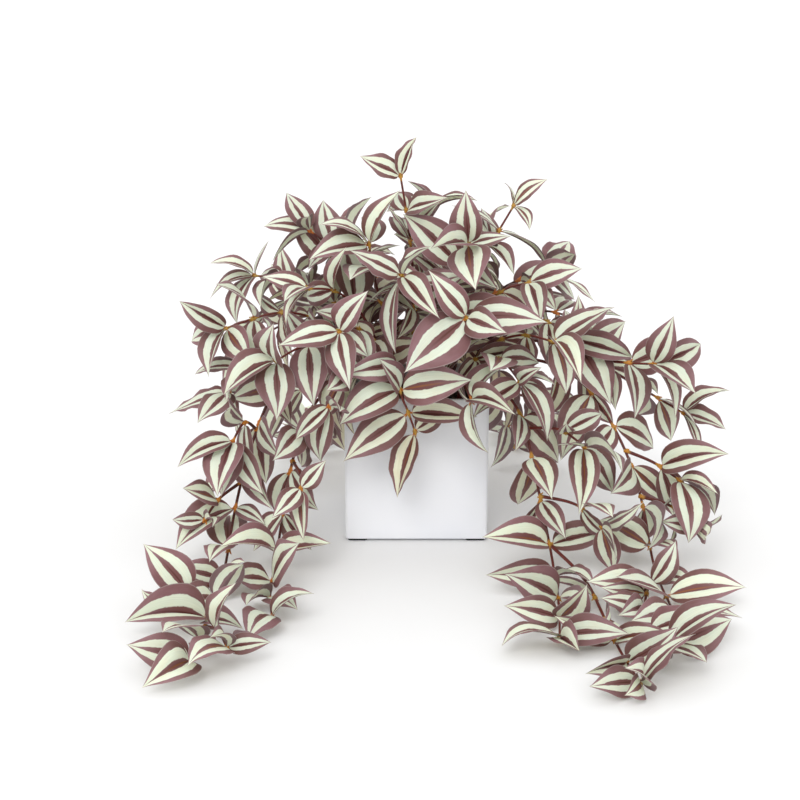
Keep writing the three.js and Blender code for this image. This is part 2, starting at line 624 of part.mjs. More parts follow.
place('pot', potGeometry(), finishes.pot);
const footPlace = potSide - foot.inset - foot.width / 2;
[['front_left', -1, -1], ['front_right', 1, -1], ['back_right', 1, 1], ['back_left', -1, 1]]
  .forEach(([corner, x, y]) => {
    place(`foot_${corner}`, footGeometry(), finishes.foot, x * footPlace, y * footPlace);
  });
place('soil', geometryOf(soilSolid), finishes.soil);
grown.forEach(({ shoot, solid }) => place(`shoot_${shoot.name}`, geometryOf(solid), finishes.leaf));

// The middle of the plant's reach, left to right and front to back, is the part's origin.
const reach = new THREE.Box3().setFromObject(plant, true);
const middle = reach.getCenter(new THREE.Vector3());
plant.position.set(-middle.x, -middle.y, 0);

export default plant;
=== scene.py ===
from math import cos, exp, pi, radians, sin
import bpy
import numpy as np
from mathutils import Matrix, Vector, noise
from mathutils.bvhtree import BVHTree


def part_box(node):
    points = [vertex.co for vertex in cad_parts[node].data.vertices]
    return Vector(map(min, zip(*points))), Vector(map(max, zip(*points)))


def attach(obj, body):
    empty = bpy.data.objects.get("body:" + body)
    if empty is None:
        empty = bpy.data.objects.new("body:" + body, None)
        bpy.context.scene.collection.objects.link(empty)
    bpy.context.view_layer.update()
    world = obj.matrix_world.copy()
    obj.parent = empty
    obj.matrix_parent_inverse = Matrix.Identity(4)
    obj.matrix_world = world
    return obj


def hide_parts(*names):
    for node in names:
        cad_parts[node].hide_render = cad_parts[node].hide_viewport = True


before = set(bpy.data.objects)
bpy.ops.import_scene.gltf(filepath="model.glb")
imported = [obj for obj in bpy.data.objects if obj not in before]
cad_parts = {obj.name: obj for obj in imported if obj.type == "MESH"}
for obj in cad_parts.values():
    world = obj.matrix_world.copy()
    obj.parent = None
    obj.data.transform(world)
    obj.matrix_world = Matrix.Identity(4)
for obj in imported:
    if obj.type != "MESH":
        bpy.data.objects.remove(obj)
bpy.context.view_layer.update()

# The plant is laid out in millimetres around the pot's middle, then moved to where the pot stands.
mm = 0.001
potLow, potHigh = (np.array(corner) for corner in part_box("pot"))
potMiddle = np.array([(potLow[0] + potHigh[0]) / 2, (potLow[1] + potHigh[1]) / 2, 0.0])


def addObject(name, data):
    item = bpy.data.objects.new(name, data)
    bpy.context.scene.collection.objects.link(item)
    return item


cameraSettings = {
    "elevation": 16.0,                  # degrees above the horizon
    "distance": 1.45,                   # metres from the point it looks at
    "lookAt": (-0.015, -0.065, 0.135),  # from the pot's middle on the floor
    "lens": 72.9,
}


def addCamera(settings):
    lift = radians(settings["elevation"])
    target = Vector(potMiddle + np.array(settings["lookAt"]))
    back = Vector((0, -cos(lift), sin(lift)))
    data = bpy.data.cameras.new("photoCamera")
    data.lens = settings["lens"]
    data.sensor_width = 36
    camera = addObject("photoCamera", data)
    camera.location = target + back * settings["distance"]
    camera.rotation_euler = back.to_track_quat("Z", "Y").to_euler()
    bpy.context.scene.camera = camera


addCamera(cameraSettings)
print("camera set")


# Points are in millimetres from the pot's middle; marks are values that the materials read.
def makePiece(name, points, faces, material, uvs=None, marks=None, sharp=62):
    mesh = bpy.data.meshes.new(name)
    placed = np.asarray(points, dtype=float) * mm + potMiddle
    mesh.from_pydata(placed.tolist(), [], faces)
    if uvs is not None:
        layer = mesh.uv_layers.new(name="UVMap")
        corners = np.empty(len(mesh.loops), dtype=np.int32)
        mesh.loops.foreach_get("vertex_index", corners)
        layer.data.foreach_set("uv", np.asarray(uvs, dtype=np.float32)[corners].ravel())
    for key, values in (marks or {}).items():
        mark = mesh.attributes.new(key, "FLOAT", "POINT")
        mark.data.foreach_set("value", np.asarray(values, dtype=np.float32))
    mesh.polygons.foreach_set("use_smooth", [True] * len(mesh.polygons))
    mesh.set_sharp_from_angle(angle=radians(sharp))
    mesh.materials.append(material)
    mesh.update()
    return addObject(name, mesh)


# A ring of points to the next ring, all of one length.
def bridge(first, second, count):
    return [(first + k, first + (k + 1) % count, second + (k + 1) % count, second + k)
            for k in range(count)]


# The cells of a grid of points, row after row.
def gridFaces(rows, columns, first=0):
    starts = [first + row * columns + k for row in range(rows - 1) for k in range(columns - 1)]
    return [(a, a + 1, a + columns + 1, a + columns) for a in starts]


def newMaterial(name, roughness):
    material = bpy.data.materials.new(name)
    material.use_nodes = True
    tree = material.node_tree
    shader = tree.nodes["Principled BSDF"]
    shader.inputs["Roughness"].default_value = roughness
    return material, tree, shader


def link(tree, source, target):
    if hasattr(source, "links"):
        tree.links.new(source, target)
    else:
        target.default_value = source


def mathNode(tree, operation, first, second=0.0, third=0.0, clamp=False):
    node = tree.nodes.new("ShaderNodeMath")
    node.operation = operation
    node.use_clamp = clamp
    for socket, value in zip(node.inputs, (first, second, third)):
        link(tree, value, socket)
    return node.outputs[0]


def timesNode(tree, first, second):
    return mathNode(tree, "MULTIPLY", first, second)


# 0 below low and 1 above high, with a soft step between.
def stepNode(tree, value, low, high):
    node = tree.nodes.new("ShaderNodeMapRange")
    node.interpolation_type = "SMOOTHSTEP"
    link(tree, value, node.inputs["Value"])
    link(tree, low, node.inputs["From Min"])
    link(tree, high, node.inputs["From Max"])
    return node.outputs["Result"]


def mixNode(tree, factor, first, second, blend="MIX"):
    node = tree.nodes.new("ShaderNodeMix")
    node.data_type = "RGBA"
    node.blend_type = blend
    link(tree, factor, node.inputs["Factor"])
    link(tree, first, node.inputs["A"])
    link(tree, second, node.inputs["B"])
    return node.outputs["Result"]


def noiseNode(tree, vector, scale, detail=3.0, rough=0.5):
    node = tree.nodes.new("ShaderNodeTexNoise")
    link(tree, vector, node.inputs["Vector"])
    node.inputs["Scale"].default_value = scale
    node.inputs["Detail"].default_value = detail
    node.inputs["Roughness"].default_value = rough
    return node.outputs["Fac"]


def vectorNode(tree, x, y, z):
    node = tree.nodes.new("ShaderNodeCombineXYZ")
    for socket, value in zip(node.inputs, (x, y, z)):
        link(tree, value, socket)
    return node.outputs[0]


def markNode(tree, name):
    node = tree.nodes.new("ShaderNodeAttribute")
    node.attribute_name = name
    return node.outputs["Fac"]


# The point's place on its piece, for the pot, the pads, the potting mix and the floor.
def placeNode(tree):
    return tree.nodes.new("ShaderNodeTexCoord").outputs["Object"]


def uvNode(tree):
    node = tree.nodes.new("ShaderNodeUVMap")
    node.uv_map = "UVMap"
    return node.outputs[0]


# A value from 0 to 1 turned into `middle`, give or take half of `amount`.
def aroundNode(tree, value, amount, middle=0.0):
    return mathNode(tree, "MULTIPLY_ADD", value, amount, middle - amount / 2)


def dimNode(tree, base, share):
    return mixNode(tree, 1.0, base, vectorNode(tree, share, share, share), "MULTIPLY")


# The surface's colour, and small bumps on it from a height; the distance is in metres.
def setSurface(tree, shader, base, height, distance, strength):
    link(tree, base, shader.inputs["Base Color"])
    node = tree.nodes.new("ShaderNodeBump")
    node.inputs["Strength"].default_value = strength
    node.inputs["Distance"].default_value = distance
    link(tree, height, node.inputs["Height"])
    link(tree, node.outputs["Normal"], shader.inputs["Normal"])


def colour(red, green, blue):
    return tuple(((part / 255 + 0.055) / 1.055) ** 2.4 if part > 10 else part / 255 / 12.92
                 for part in (red, green, blue)) + (1.0,)


leafFinish = {
    "mauve": colour(129, 93, 90),         # outer bands
    "mauveRosy": colour(146, 104, 107),   # the same on the rosier leaves
    "mauveTip": colour(170, 131, 137),    # pinker towards the tip
    "mauveDeepAndShade": colour(112, 66, 56),     # darker at the base and in random patches, and painted shade on leaves deep inside the plant
    "midBand": colour(132, 86, 84),       # the band along the middle
    "midLine": colour(96, 50, 40),        # the groove in that band
    "midGold": colour(172, 112, 58),      # the same groove on some leaves
    "silver": colour(238, 247, 231),
    "silverCreamAndShade": colour(236, 227, 197),  # creamy in random patches, and painted shade on leaves deep inside the plant
    "margin": colour(184, 172, 168),
    "under": colour(160, 142, 148),
    "stalk": colour(196, 118, 50),
    "midBase": 0.035,                     # half-width of the middle band at the leaf's foot
    "midSwell": (0.125, 0.05),            # and how much it swells, and differs by leaf
    "silverEnd": (0.6, 0.12),             # where the silver band ends, and differs by leaf
    "edgeSoft": 0.018,
    "wander": 0.15, "fray": 0.05,         # how far the bands' edges stray
    "streaks": 0.34, "shades": 0.16,      # how much the fibres and whole leaves differ
    "grains": 57.0, "hues": 7.3,          # spread the leaves' tones over grain and rosiness
    "rough": 0.5, "specular": 0.35,
    "glow": 0.24,                         # light let through the blade, and its tint
    "glowTint": (1.0, 0.9, 0.76, 1.0),
}


def makeLeafFinish(settings):
    material, tree, shader = newMaterial("stripedLeaf", settings["rough"])
    split = tree.nodes.new("ShaderNodeSeparateXYZ")
    link(tree, uvNode(tree), split.inputs[0])
    across, along = split.outputs[0], split.outputs[1]
    # the inside mark tells how deep a leaf sits in the plant, for painted shade
    tone, under, inside = (markNode(tree, name) for name in ("leafTone", "leafUnder", "leafInsideShade"))
    off = mathNode(tree, "ABSOLUTE", mathNode(tree, "MULTIPLY_ADD", across, 2.0, -1.0))
    seed = timesNode(tree, tone, settings["grains"])
    hue = mathNode(tree, "FRACT", timesNode(tree, tone, settings["hues"]))

    def grain(acrossScale, alongScale, scale, detail, rough=0.5):
        spot = vectorNode(tree, timesNode(tree, across, acrossScale),
                          timesNode(tree, along, alongScale), seed)
        return noiseNode(tree, spot, scale, detail, rough)

    # band edges wander a little, and fray into short streaks
    shift = mathNode(tree, "ADD", aroundNode(tree, grain(1.0, 2.2, 3.4, 4.0), settings["wander"]),
                     aroundNode(tree, grain(30.0, 5.0, 1.6, 3.0), settings["fray"]))
    place = mathNode(tree, "ADD", off, shift)
    soft = settings["edgeSoft"]

    # the middle band is narrow at the base, widest at mid-length and gone before the tip
    swell = mathNode(tree, "SINE", timesNode(tree, mathNode(tree, "POWER", along, 0.8), 3.3))
    least, differ = settings["midSwell"]
    midHalf = mathNode(tree, "MULTIPLY_ADD", swell, mathNode(tree, "MULTIPLY_ADD", tone, differ, least),
                       settings["midBase"])
    inner = stepNode(tree, mathNode(tree, "SUBTRACT", place, midHalf), -soft, soft)
    end, differ = settings["silverEnd"]
    endPlace = aroundNode(tree, tone, differ, end)
    outer = stepNode(tree, mathNode(tree, "SUBTRACT", place, endPlace), -soft, soft)
    silverMask = timesNode(tree, inner, mathNode(tree, "SUBTRACT", 1.0, outer))

    fibres = grain(90.0, 3.0, 1.0, 3.0, 0.6)
    cloud = grain(1.0, 1.0, 5.0, 4.0)

    # from one mauve or colour to the next, in part, where a value goes from low to high
    def shaded(base, value, low, high, most, other):
        return mixNode(tree, timesNode(tree, stepNode(tree, value, low, high), most), base, other)

    mauve = mixNode(tree, stepNode(tree, hue, 0.25, 0.95), settings["mauve"], settings["mauveRosy"])
    mauve = mixNode(tree, stepNode(tree, along, 0.25, 1.0), mauve, settings["mauveTip"])
    mauve = shaded(mauve, cloud, 0.3, 0.8, 0.4, settings["mauveDeepAndShade"])
    mauve = shaded(mauve, along, 0.42, 0.02, 0.5, settings["mauveDeepAndShade"])
    groove = mixNode(tree, stepNode(tree, tone, 0.72, 0.74), settings["midLine"], settings["midGold"])
    middle = shaded(settings["midBand"], off, 0.075, 0.0, 0.8, groove)
    middle = mixNode(tree, stepNode(tree, along, 0.3, 0.8), middle, mauve)
    bands = mixNode(tree, outer, middle, mauve)
    # painted shade: leaves deep inside the plant go over to the deep mauve
    bands = mixNode(tree, timesNode(tree, inside, 0.75), bands, settings["mauveDeepAndShade"])
    bands = mixNode(tree, timesNode(tree, under, 0.4), bands, settings["under"])
    # the silver goes cream in random patches, and as painted shade on leaves deep inside the plant
    clouded = timesNode(tree, stepNode(tree, cloud, 0.3, 0.9), 0.4)
    creamAndShade = mathNode(tree, "ADD", inside, clouded, clamp=True)
    silver = mixNode(tree, creamAndShade, settings["silver"], settings["silverCreamAndShade"])
    bands = mixNode(tree, silverMask, bands, silver)
    bands = shaded(bands, off, 0.95, 0.985, 0.6, settings["margin"])
    bands = dimNode(tree, bands, aroundNode(tree, fibres, settings["streaks"], 1.0))
    bands = dimNode(tree, bands, aroundNode(tree, tone, settings["shades"], 1.0))
    bands = mixNode(tree, stepNode(tree, along, 0.08, 0.045), bands, settings["stalk"])

    shader.inputs["Specular IOR Level"].default_value = settings["specular"]
    setSurface(tree, shader, bands, fibres, 0.0002, 0.35)

    glow = tree.nodes.new("ShaderNodeBsdfTranslucent")
    link(tree, mixNode(tree, 1.0, bands, settings["glowTint"], "MULTIPLY"), glow.inputs["Color"])
    both = tree.nodes.new("ShaderNodeMixShader")
    both.inputs["Fac"].default_value = settings["glow"]
    tree.links.new(shader.outputs[0], both.inputs[1])
    tree.links.new(glow.outputs[0], both.inputs[2])
    tree.links.new(both.outputs[0], tree.nodes["Material Output"].inputs["Surface"])
    return material


stemFinish = {
    "dark": colour(58, 20, 14),
    "red": colour(106, 32, 24),
    "joint": colour(212, 118, 36),
    "jointOlive": colour(184, 142, 52),
    "jointDark": colour(120, 66, 30),
    "rough": 0.42,
}


def makeStemFinish(settings):
    material, tree, shader = newMaterial("redStem", settings["rough"])
    near, tone = markNode(tree, "nearJoint"), markNode(tree, "stemTone")
    streaks = noiseNode(tree, uvNode(tree), 14.0, 4.0, 0.6)

    # the streaks, with some of another value added to them, as a step
    def streaked(value, share, low, high):
        return stepNode(tree, mathNode(tree, "MULTIPLY_ADD", value, share, streaks), low, high)

    red = mixNode(tree, streaked(tone, 0.3, 0.35, 0.85), settings["dark"], settings["red"])
    gold = mixNode(tree, streaked(tone, 0.7, 0.6, 1.1), settings["joint"], settings["jointOlive"])
    gold = mixNode(tree, stepNode(tree, streaks, 0.52, 0.7), gold, settings["jointDark"])
    ragged = mathNode(tree, "MULTIPLY_ADD", streaks, 0.3, near)
    bark = mixNode(tree, stepNode(tree, ragged, 0.4, 0.9), red, gold)
    setSurface(tree, shader, bark, streaks, 0.0003, 0.4)
    return material


potFinish = {"white": colour(244, 245, 249), "grey": colour(236, 238, 244), "rough": 0.38}


def makePotFinish(settings):
    material, tree, shader = newMaterial("whiteGlaze", settings["rough"])
    place = placeNode(tree)
    cloud = noiseNode(tree, place, 9.0, 3.0)
    pits = noiseNode(tree, place, 620.0, 2.0)
    glaze = mixNode(tree, stepNode(tree, cloud, 0.35, 0.7), settings["white"], settings["grey"])
    link(tree, aroundNode(tree, cloud, 0.12, settings["rough"]), shader.inputs["Roughness"])
    height = mathNode(tree, "MULTIPLY_ADD", cloud, 2.0, timesNode(tree, pits, 0.25))
    setSurface(tree, shader, glaze, height, 0.0002, 0.25)
    return material


footFinish = {"black": colour(12, 12, 13), "worn": colour(32, 31, 30), "rough": 0.8}


def makeFootFinish(settings):
    material, tree, shader = newMaterial("blackRubber", settings["rough"])
    grain = noiseNode(tree, placeNode(tree), 900.0, 3.0)
    rubber = mixNode(tree, grain, settings["black"], settings["worn"])
    setSurface(tree, shader, rubber, grain, 0.0002, 0.5)
    return material


soilFinish = {
    "dark": colour(38, 26, 18),
    "brown": colour(86, 62, 44),
    "bark": colour(128, 98, 70),  # the palest crumbs
    "rough": 0.95,
}


def makeSoilFinish(settings):
    material, tree, shader = newMaterial("pottingMix", settings["rough"])
    lumps = noiseNode(tree, placeNode(tree), 260.0, 6.0, 0.65)
    earth = mixNode(tree, stepNode(tree, lumps, 0.35, 0.7), settings["dark"], settings["brown"])
    crumb = stepNode(tree, markNode(tree, "crumbTone"), 0.6, 1.0)
    setSurface(tree, shader, mixNode(tree, crumb, earth, settings["bark"]), lumps, 0.001, 0.8)
    return material


leafMaterial = makeLeafFinish(leafFinish)
stemMaterial = makeStemFinish(stemFinish)
potMaterial = makePotFinish(potFinish)
footMaterial = makeFootFinish(footFinish)
soilMaterial = makeSoilFinish(soilFinish)
print("finishes made")


# A square ring with round corners: `sides` spans along each side, `turns` round each corner.
def squareRing(half, corner, z, sides=10, turns=6):
    corner = min(corner, half * 0.98)
    points = []
    for quarter in range(4):
        spin = quarter * pi / 2
        cosine, sine = cos(spin), sin(spin)
        for step in range(turns):
            angle = step / turns * pi / 2
            x = half - corner + corner * cos(angle)
            y = half - corner + corner * sin(angle)
            points.append((x * cosine - y * sine, x * sine + y * cosine, z))
        for step in range(sides):
            x = (half - corner) * (1 - 2 * step / sides)
            points.append((x * cosine - half * sine, x * sine + half * cosine, z))
    return points


# Rings joined in order, with the first and the last filled.
def loft(rings):
    count = len(rings[0])
    points = [point for ring in rings for point in ring]
    faces = [tuple(reversed(range(count)))]
    for k in range(len(rings) - 1):
        faces += bridge(k * count, (k + 1) * count, count)
    faces.append(tuple(range((len(rings) - 1) * count, len(rings) * count)))
    return points, faces


potSettings = {
    "width": 130.0, "height": 133.3, "wall": 3.5, "base": 5.0,
    "corner": 3.0, "edge": 1.2, "innerEdge": 4.0, "footHeight": 2.2,
    "edgeSteps": 4, "sideSteps": 12, "rimSteps": 6, "insideSteps": 8,
    "wave": 0.06, "waveScale": 0.03,  # how far the glaze wanders from flat, and how closely
}


def makePot(settings):
    half, edge, corner = settings["width"] / 2, settings["edge"], settings["corner"]
    foot, top = settings["footHeight"], settings["footHeight"] + settings["height"]
    inside, floor, bend = half - settings["wall"], foot + settings["base"], settings["innerEdge"]
    quarter = [step / settings["edgeSteps"] * pi / 2 for step in range(settings["edgeSteps"] + 1)]
    over = [step / settings["rimSteps"] * pi for step in range(settings["rimSteps"] + 1)]
    outer = [step / settings["sideSteps"] for step in range(1, settings["sideSteps"])]
    inner = [step / settings["insideSteps"] for step in range(1, settings["insideSteps"] + 1)]
    # half-widths and heights: the rounded lower edge, the side, the rim, the inside and its floor
    profile = [(half - edge * (1 - sin(turn)), foot + edge * (1 - cos(turn))) for turn in quarter]
    profile += [(half, foot + edge + (top - foot - 2 * edge) * share) for share in outer]
    profile += [((half + inside) / 2 + (half - inside) / 2 * cos(turn),
                 top - edge + edge * sin(turn)) for turn in over]
    profile += [(inside, top - edge + (floor + bend - top + edge) * share) for share in inner]
    profile += [(inside - bend * (1 - cos(turn)), floor + bend * (1 - sin(turn)))
                for turn in quarter[1:]]
    points, faces = loft([squareRing(place, corner, height) for place, height in profile])
    waved = []
    for x, y, z in points:
        lift = settings["wave"] * noise.noise(Vector((x, y, z)) * settings["waveScale"])
        waved.append((x * (1 + lift / half), y * (1 + lift / half), z))
    pot = makePiece("coverPot", waved, faces, potMaterial, sharp=40)
    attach(pot, "root")
    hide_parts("pot")


# A pad's rings from its underside up: how far in, corner radius, and height above the surface or
# drop below the pot
footSettings = {
    "width": 17.5, "inset": 2.2,
    "lower": [(1.6, 1.6, 0.25), (1.3, 1.8, 0.0), (0.5, 2.2, 0.0), (0.1, 2.5, 0.2), (0.0, 2.5, 0.5)],
    "upper": [(0.0, 2.5, 0.3), (0.15, 2.5, 0.05), (0.6, 2.2, 0.0)],
}


def makeFeet(settings):
    place = potSettings["width"] / 2 - settings["inset"] - settings["width"] / 2
    half, height = settings["width"] / 2, potSettings["footHeight"]
    rings = [squareRing(half - cut, corner, rise) for cut, corner, rise in settings["lower"]]
    rings += [squareRing(half - cut, corner, height - drop) for cut, corner, drop in settings["upper"]]
    corners = {"front_left": (-1, -1), "front_right": (1, -1), "back_right": (1, 1), "back_left": (-1, 1)}
    for name, (right, back) in corners.items():
        points, faces = loft([[(x + right * place, y + back * place, z) for x, y, z in ring]
                              for ring in rings])
        pad = makePiece("pad_" + name, points, faces, footMaterial, sharp=50)
        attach(pad, "root")
        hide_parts("foot_" + name)


soilSettings = {
    "top": 119.0, "sunk": 2.2,  # the highest crumb, and how far under it the surface lies
    "lumps": 1.6, "lumpScale": 0.09, "fine": 0.7, "fineScale": 0.6, "edgeDrop": 1.2,
    "gap": 0.5, "cells": 84,    # the gap is the one to the pot
    "crumbs": 420, "crumbSize": (0.7, 2.1), "crumbSides": 6, "seed": 11,
}


# An uneven surface of square cells, with a rim that goes straight down to the pot's floor.
def makeSoil(settings):
    half = potSettings["width"] / 2 - potSettings["wall"] - settings["gap"]
    cells, top = settings["cells"], settings["top"]
    points, faces, tones = [], [], []
    for row in range(cells + 1):
        for column in range(cells + 1):
            x = half * (2 * column / cells - 1)
            y = half * (2 * row / cells - 1)
            edge = max(abs(x), abs(y)) / half
            spot = Vector((x, y, 3.0)) * settings["lumpScale"]
            lump = settings["lumps"] * noise.fractal(spot, 1.0, 2.1, 4)
            fine = noise.noise(Vector((x, y, 9.0)) * settings["fineScale"])
            drop = settings["sunk"] + settings["edgeDrop"] * edge ** 6
            points.append((x, y, top - drop + lump + settings["fine"] * fine))
            tones.append(0.2 + 0.2 * fine)
    wide = cells + 1
    faces += gridFaces(wide, wide)
    rim = list(range(wide))
    rim += [row * wide + cells for row in range(1, wide)]
    rim += [cells * wide + k for k in range(cells - 1, -1, -1)]
    rim += [row * wide for row in range(cells - 1, 0, -1)]
    base, count = len(points), len(rim)
    floor = potSettings["footHeight"] + potSettings["base"] + settings["gap"]
    points += [(points[k][0] * 0.99, points[k][1] * 0.99, floor) for k in rim]
    tones += [0.1] * count
    faces += [(rim[(k + 1) % count], rim[k], base + k, base + (k + 1) % count) for k in range(count)]
    faces.append(tuple(base + k for k in reversed(range(count))))
    random = np.random.default_rng(settings["seed"])
    for _ in range(settings["crumbs"]):
        addCrumb(settings, half, random, points, faces, tones)
    soil = makePiece("pottingMix", points, faces, soilMaterial, marks={"crumbTone": tones}, sharp=35)
    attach(soil, "root")
    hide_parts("soil")


# A crumb of bark: a crooked prism half sunk in the surface.
def addCrumb(settings, half, random, points, faces, tones):
    x, y = random.uniform(-half + 3, half - 3, 2)
    size = random.uniform(*settings["crumbSize"])
    stretch = random.uniform(0.5, 1.5, 3)
    turn = random.uniform(0, pi)
    first, cells, sides = len(points), settings["cells"], settings["crumbSides"]
    row = round((y / half + 1) / 2 * cells)
    column = round((x / half + 1) / 2 * cells)
    z = min(points[row * (cells + 1) + column][2] + size * 0.3, settings["top"] - 1.2)
    for tilt in (-0.6, 0.6):
        for k in range(sides):
            angle = turn + k * 2 * pi / sides
            reach = size * stretch[0] * (0.8 + 0.3 * random.random())
            points.append((x + reach * cos(angle), y + size * stretch[1] * sin(angle),
                           z + tilt * size * 0.5 * stretch[2]))
    faces.append(tuple(first + k for k in reversed(range(sides))))
    faces += bridge(first, first + sides, sides)
    faces.append(tuple(first + sides + k for k in range(sides)))
    tones += [random.uniform(0.3, 1.0)] * (2 * sides)


makePot(potSettings)
makeFeet(footSettings)
makeSoil(soilSettings)
print("pot, pads and potting mix made")


stemSettings = {
    "radius": 1.2, "sides": 9, "gap": 0.35, "cornerCut": 0.25, "step": 3.2, "rootDepth": 14.0,
    "base": 1.6, "tip": 0.95,                   # radius at the two ends of a stem
    "joint": 0.75, "jointReach": 1.9,           # swelling at a joint, and how far it spreads
    "knobble": 0.7, "goldReach": 5.0,
    "collar": (-4.6, -3.2, -2.2, -1.4, -0.6, 0.2, 1.0, 1.8, 2.8, 4.2),
    "uvLength": 60.0, "uvRound": 0.1,           # mm of stem for one step of its streaks, and round it
    "search": 0.5,                              # steps along the stem to find its joints
    "apart": 4.0, "ringGap": 0.8,               # least space between joints, and between rings
}
nearlyUp = np.array([0.13, 0.09, 1.0])          # so that no stem runs along it
rootZ = soilSettings["top"] - stemSettings["rootDepth"]
rimZ = potSettings["footHeight"] + potSettings["height"]

# Millimetres without leaves at the foot, from joint to joint, and of a leaf's length
usual = {"bare": 62, "step": 27, "size": 61}
usualTwig = {"bare": 19, "step": 24, "size": 57}


# A shoot that roots in the potting mix.
def sprig(name, root, path, stars=(), **own):
    return {**usual, "name": name, "path": [(*root, rootZ), *path], "stars": stars, **own}


# A side shoot, which grows out of another one at a share of its length.
def twig(name, carrier, at, path, stars=(), **own):
    return {**usualTwig, "name": name, "carrier": carrier, "at": at, "path": path, "stars": stars, **own}


# Leaves with chosen tips, at a share of the shoot's length.
def star(at, *tips):
    return {"at": at, "tips": tips}


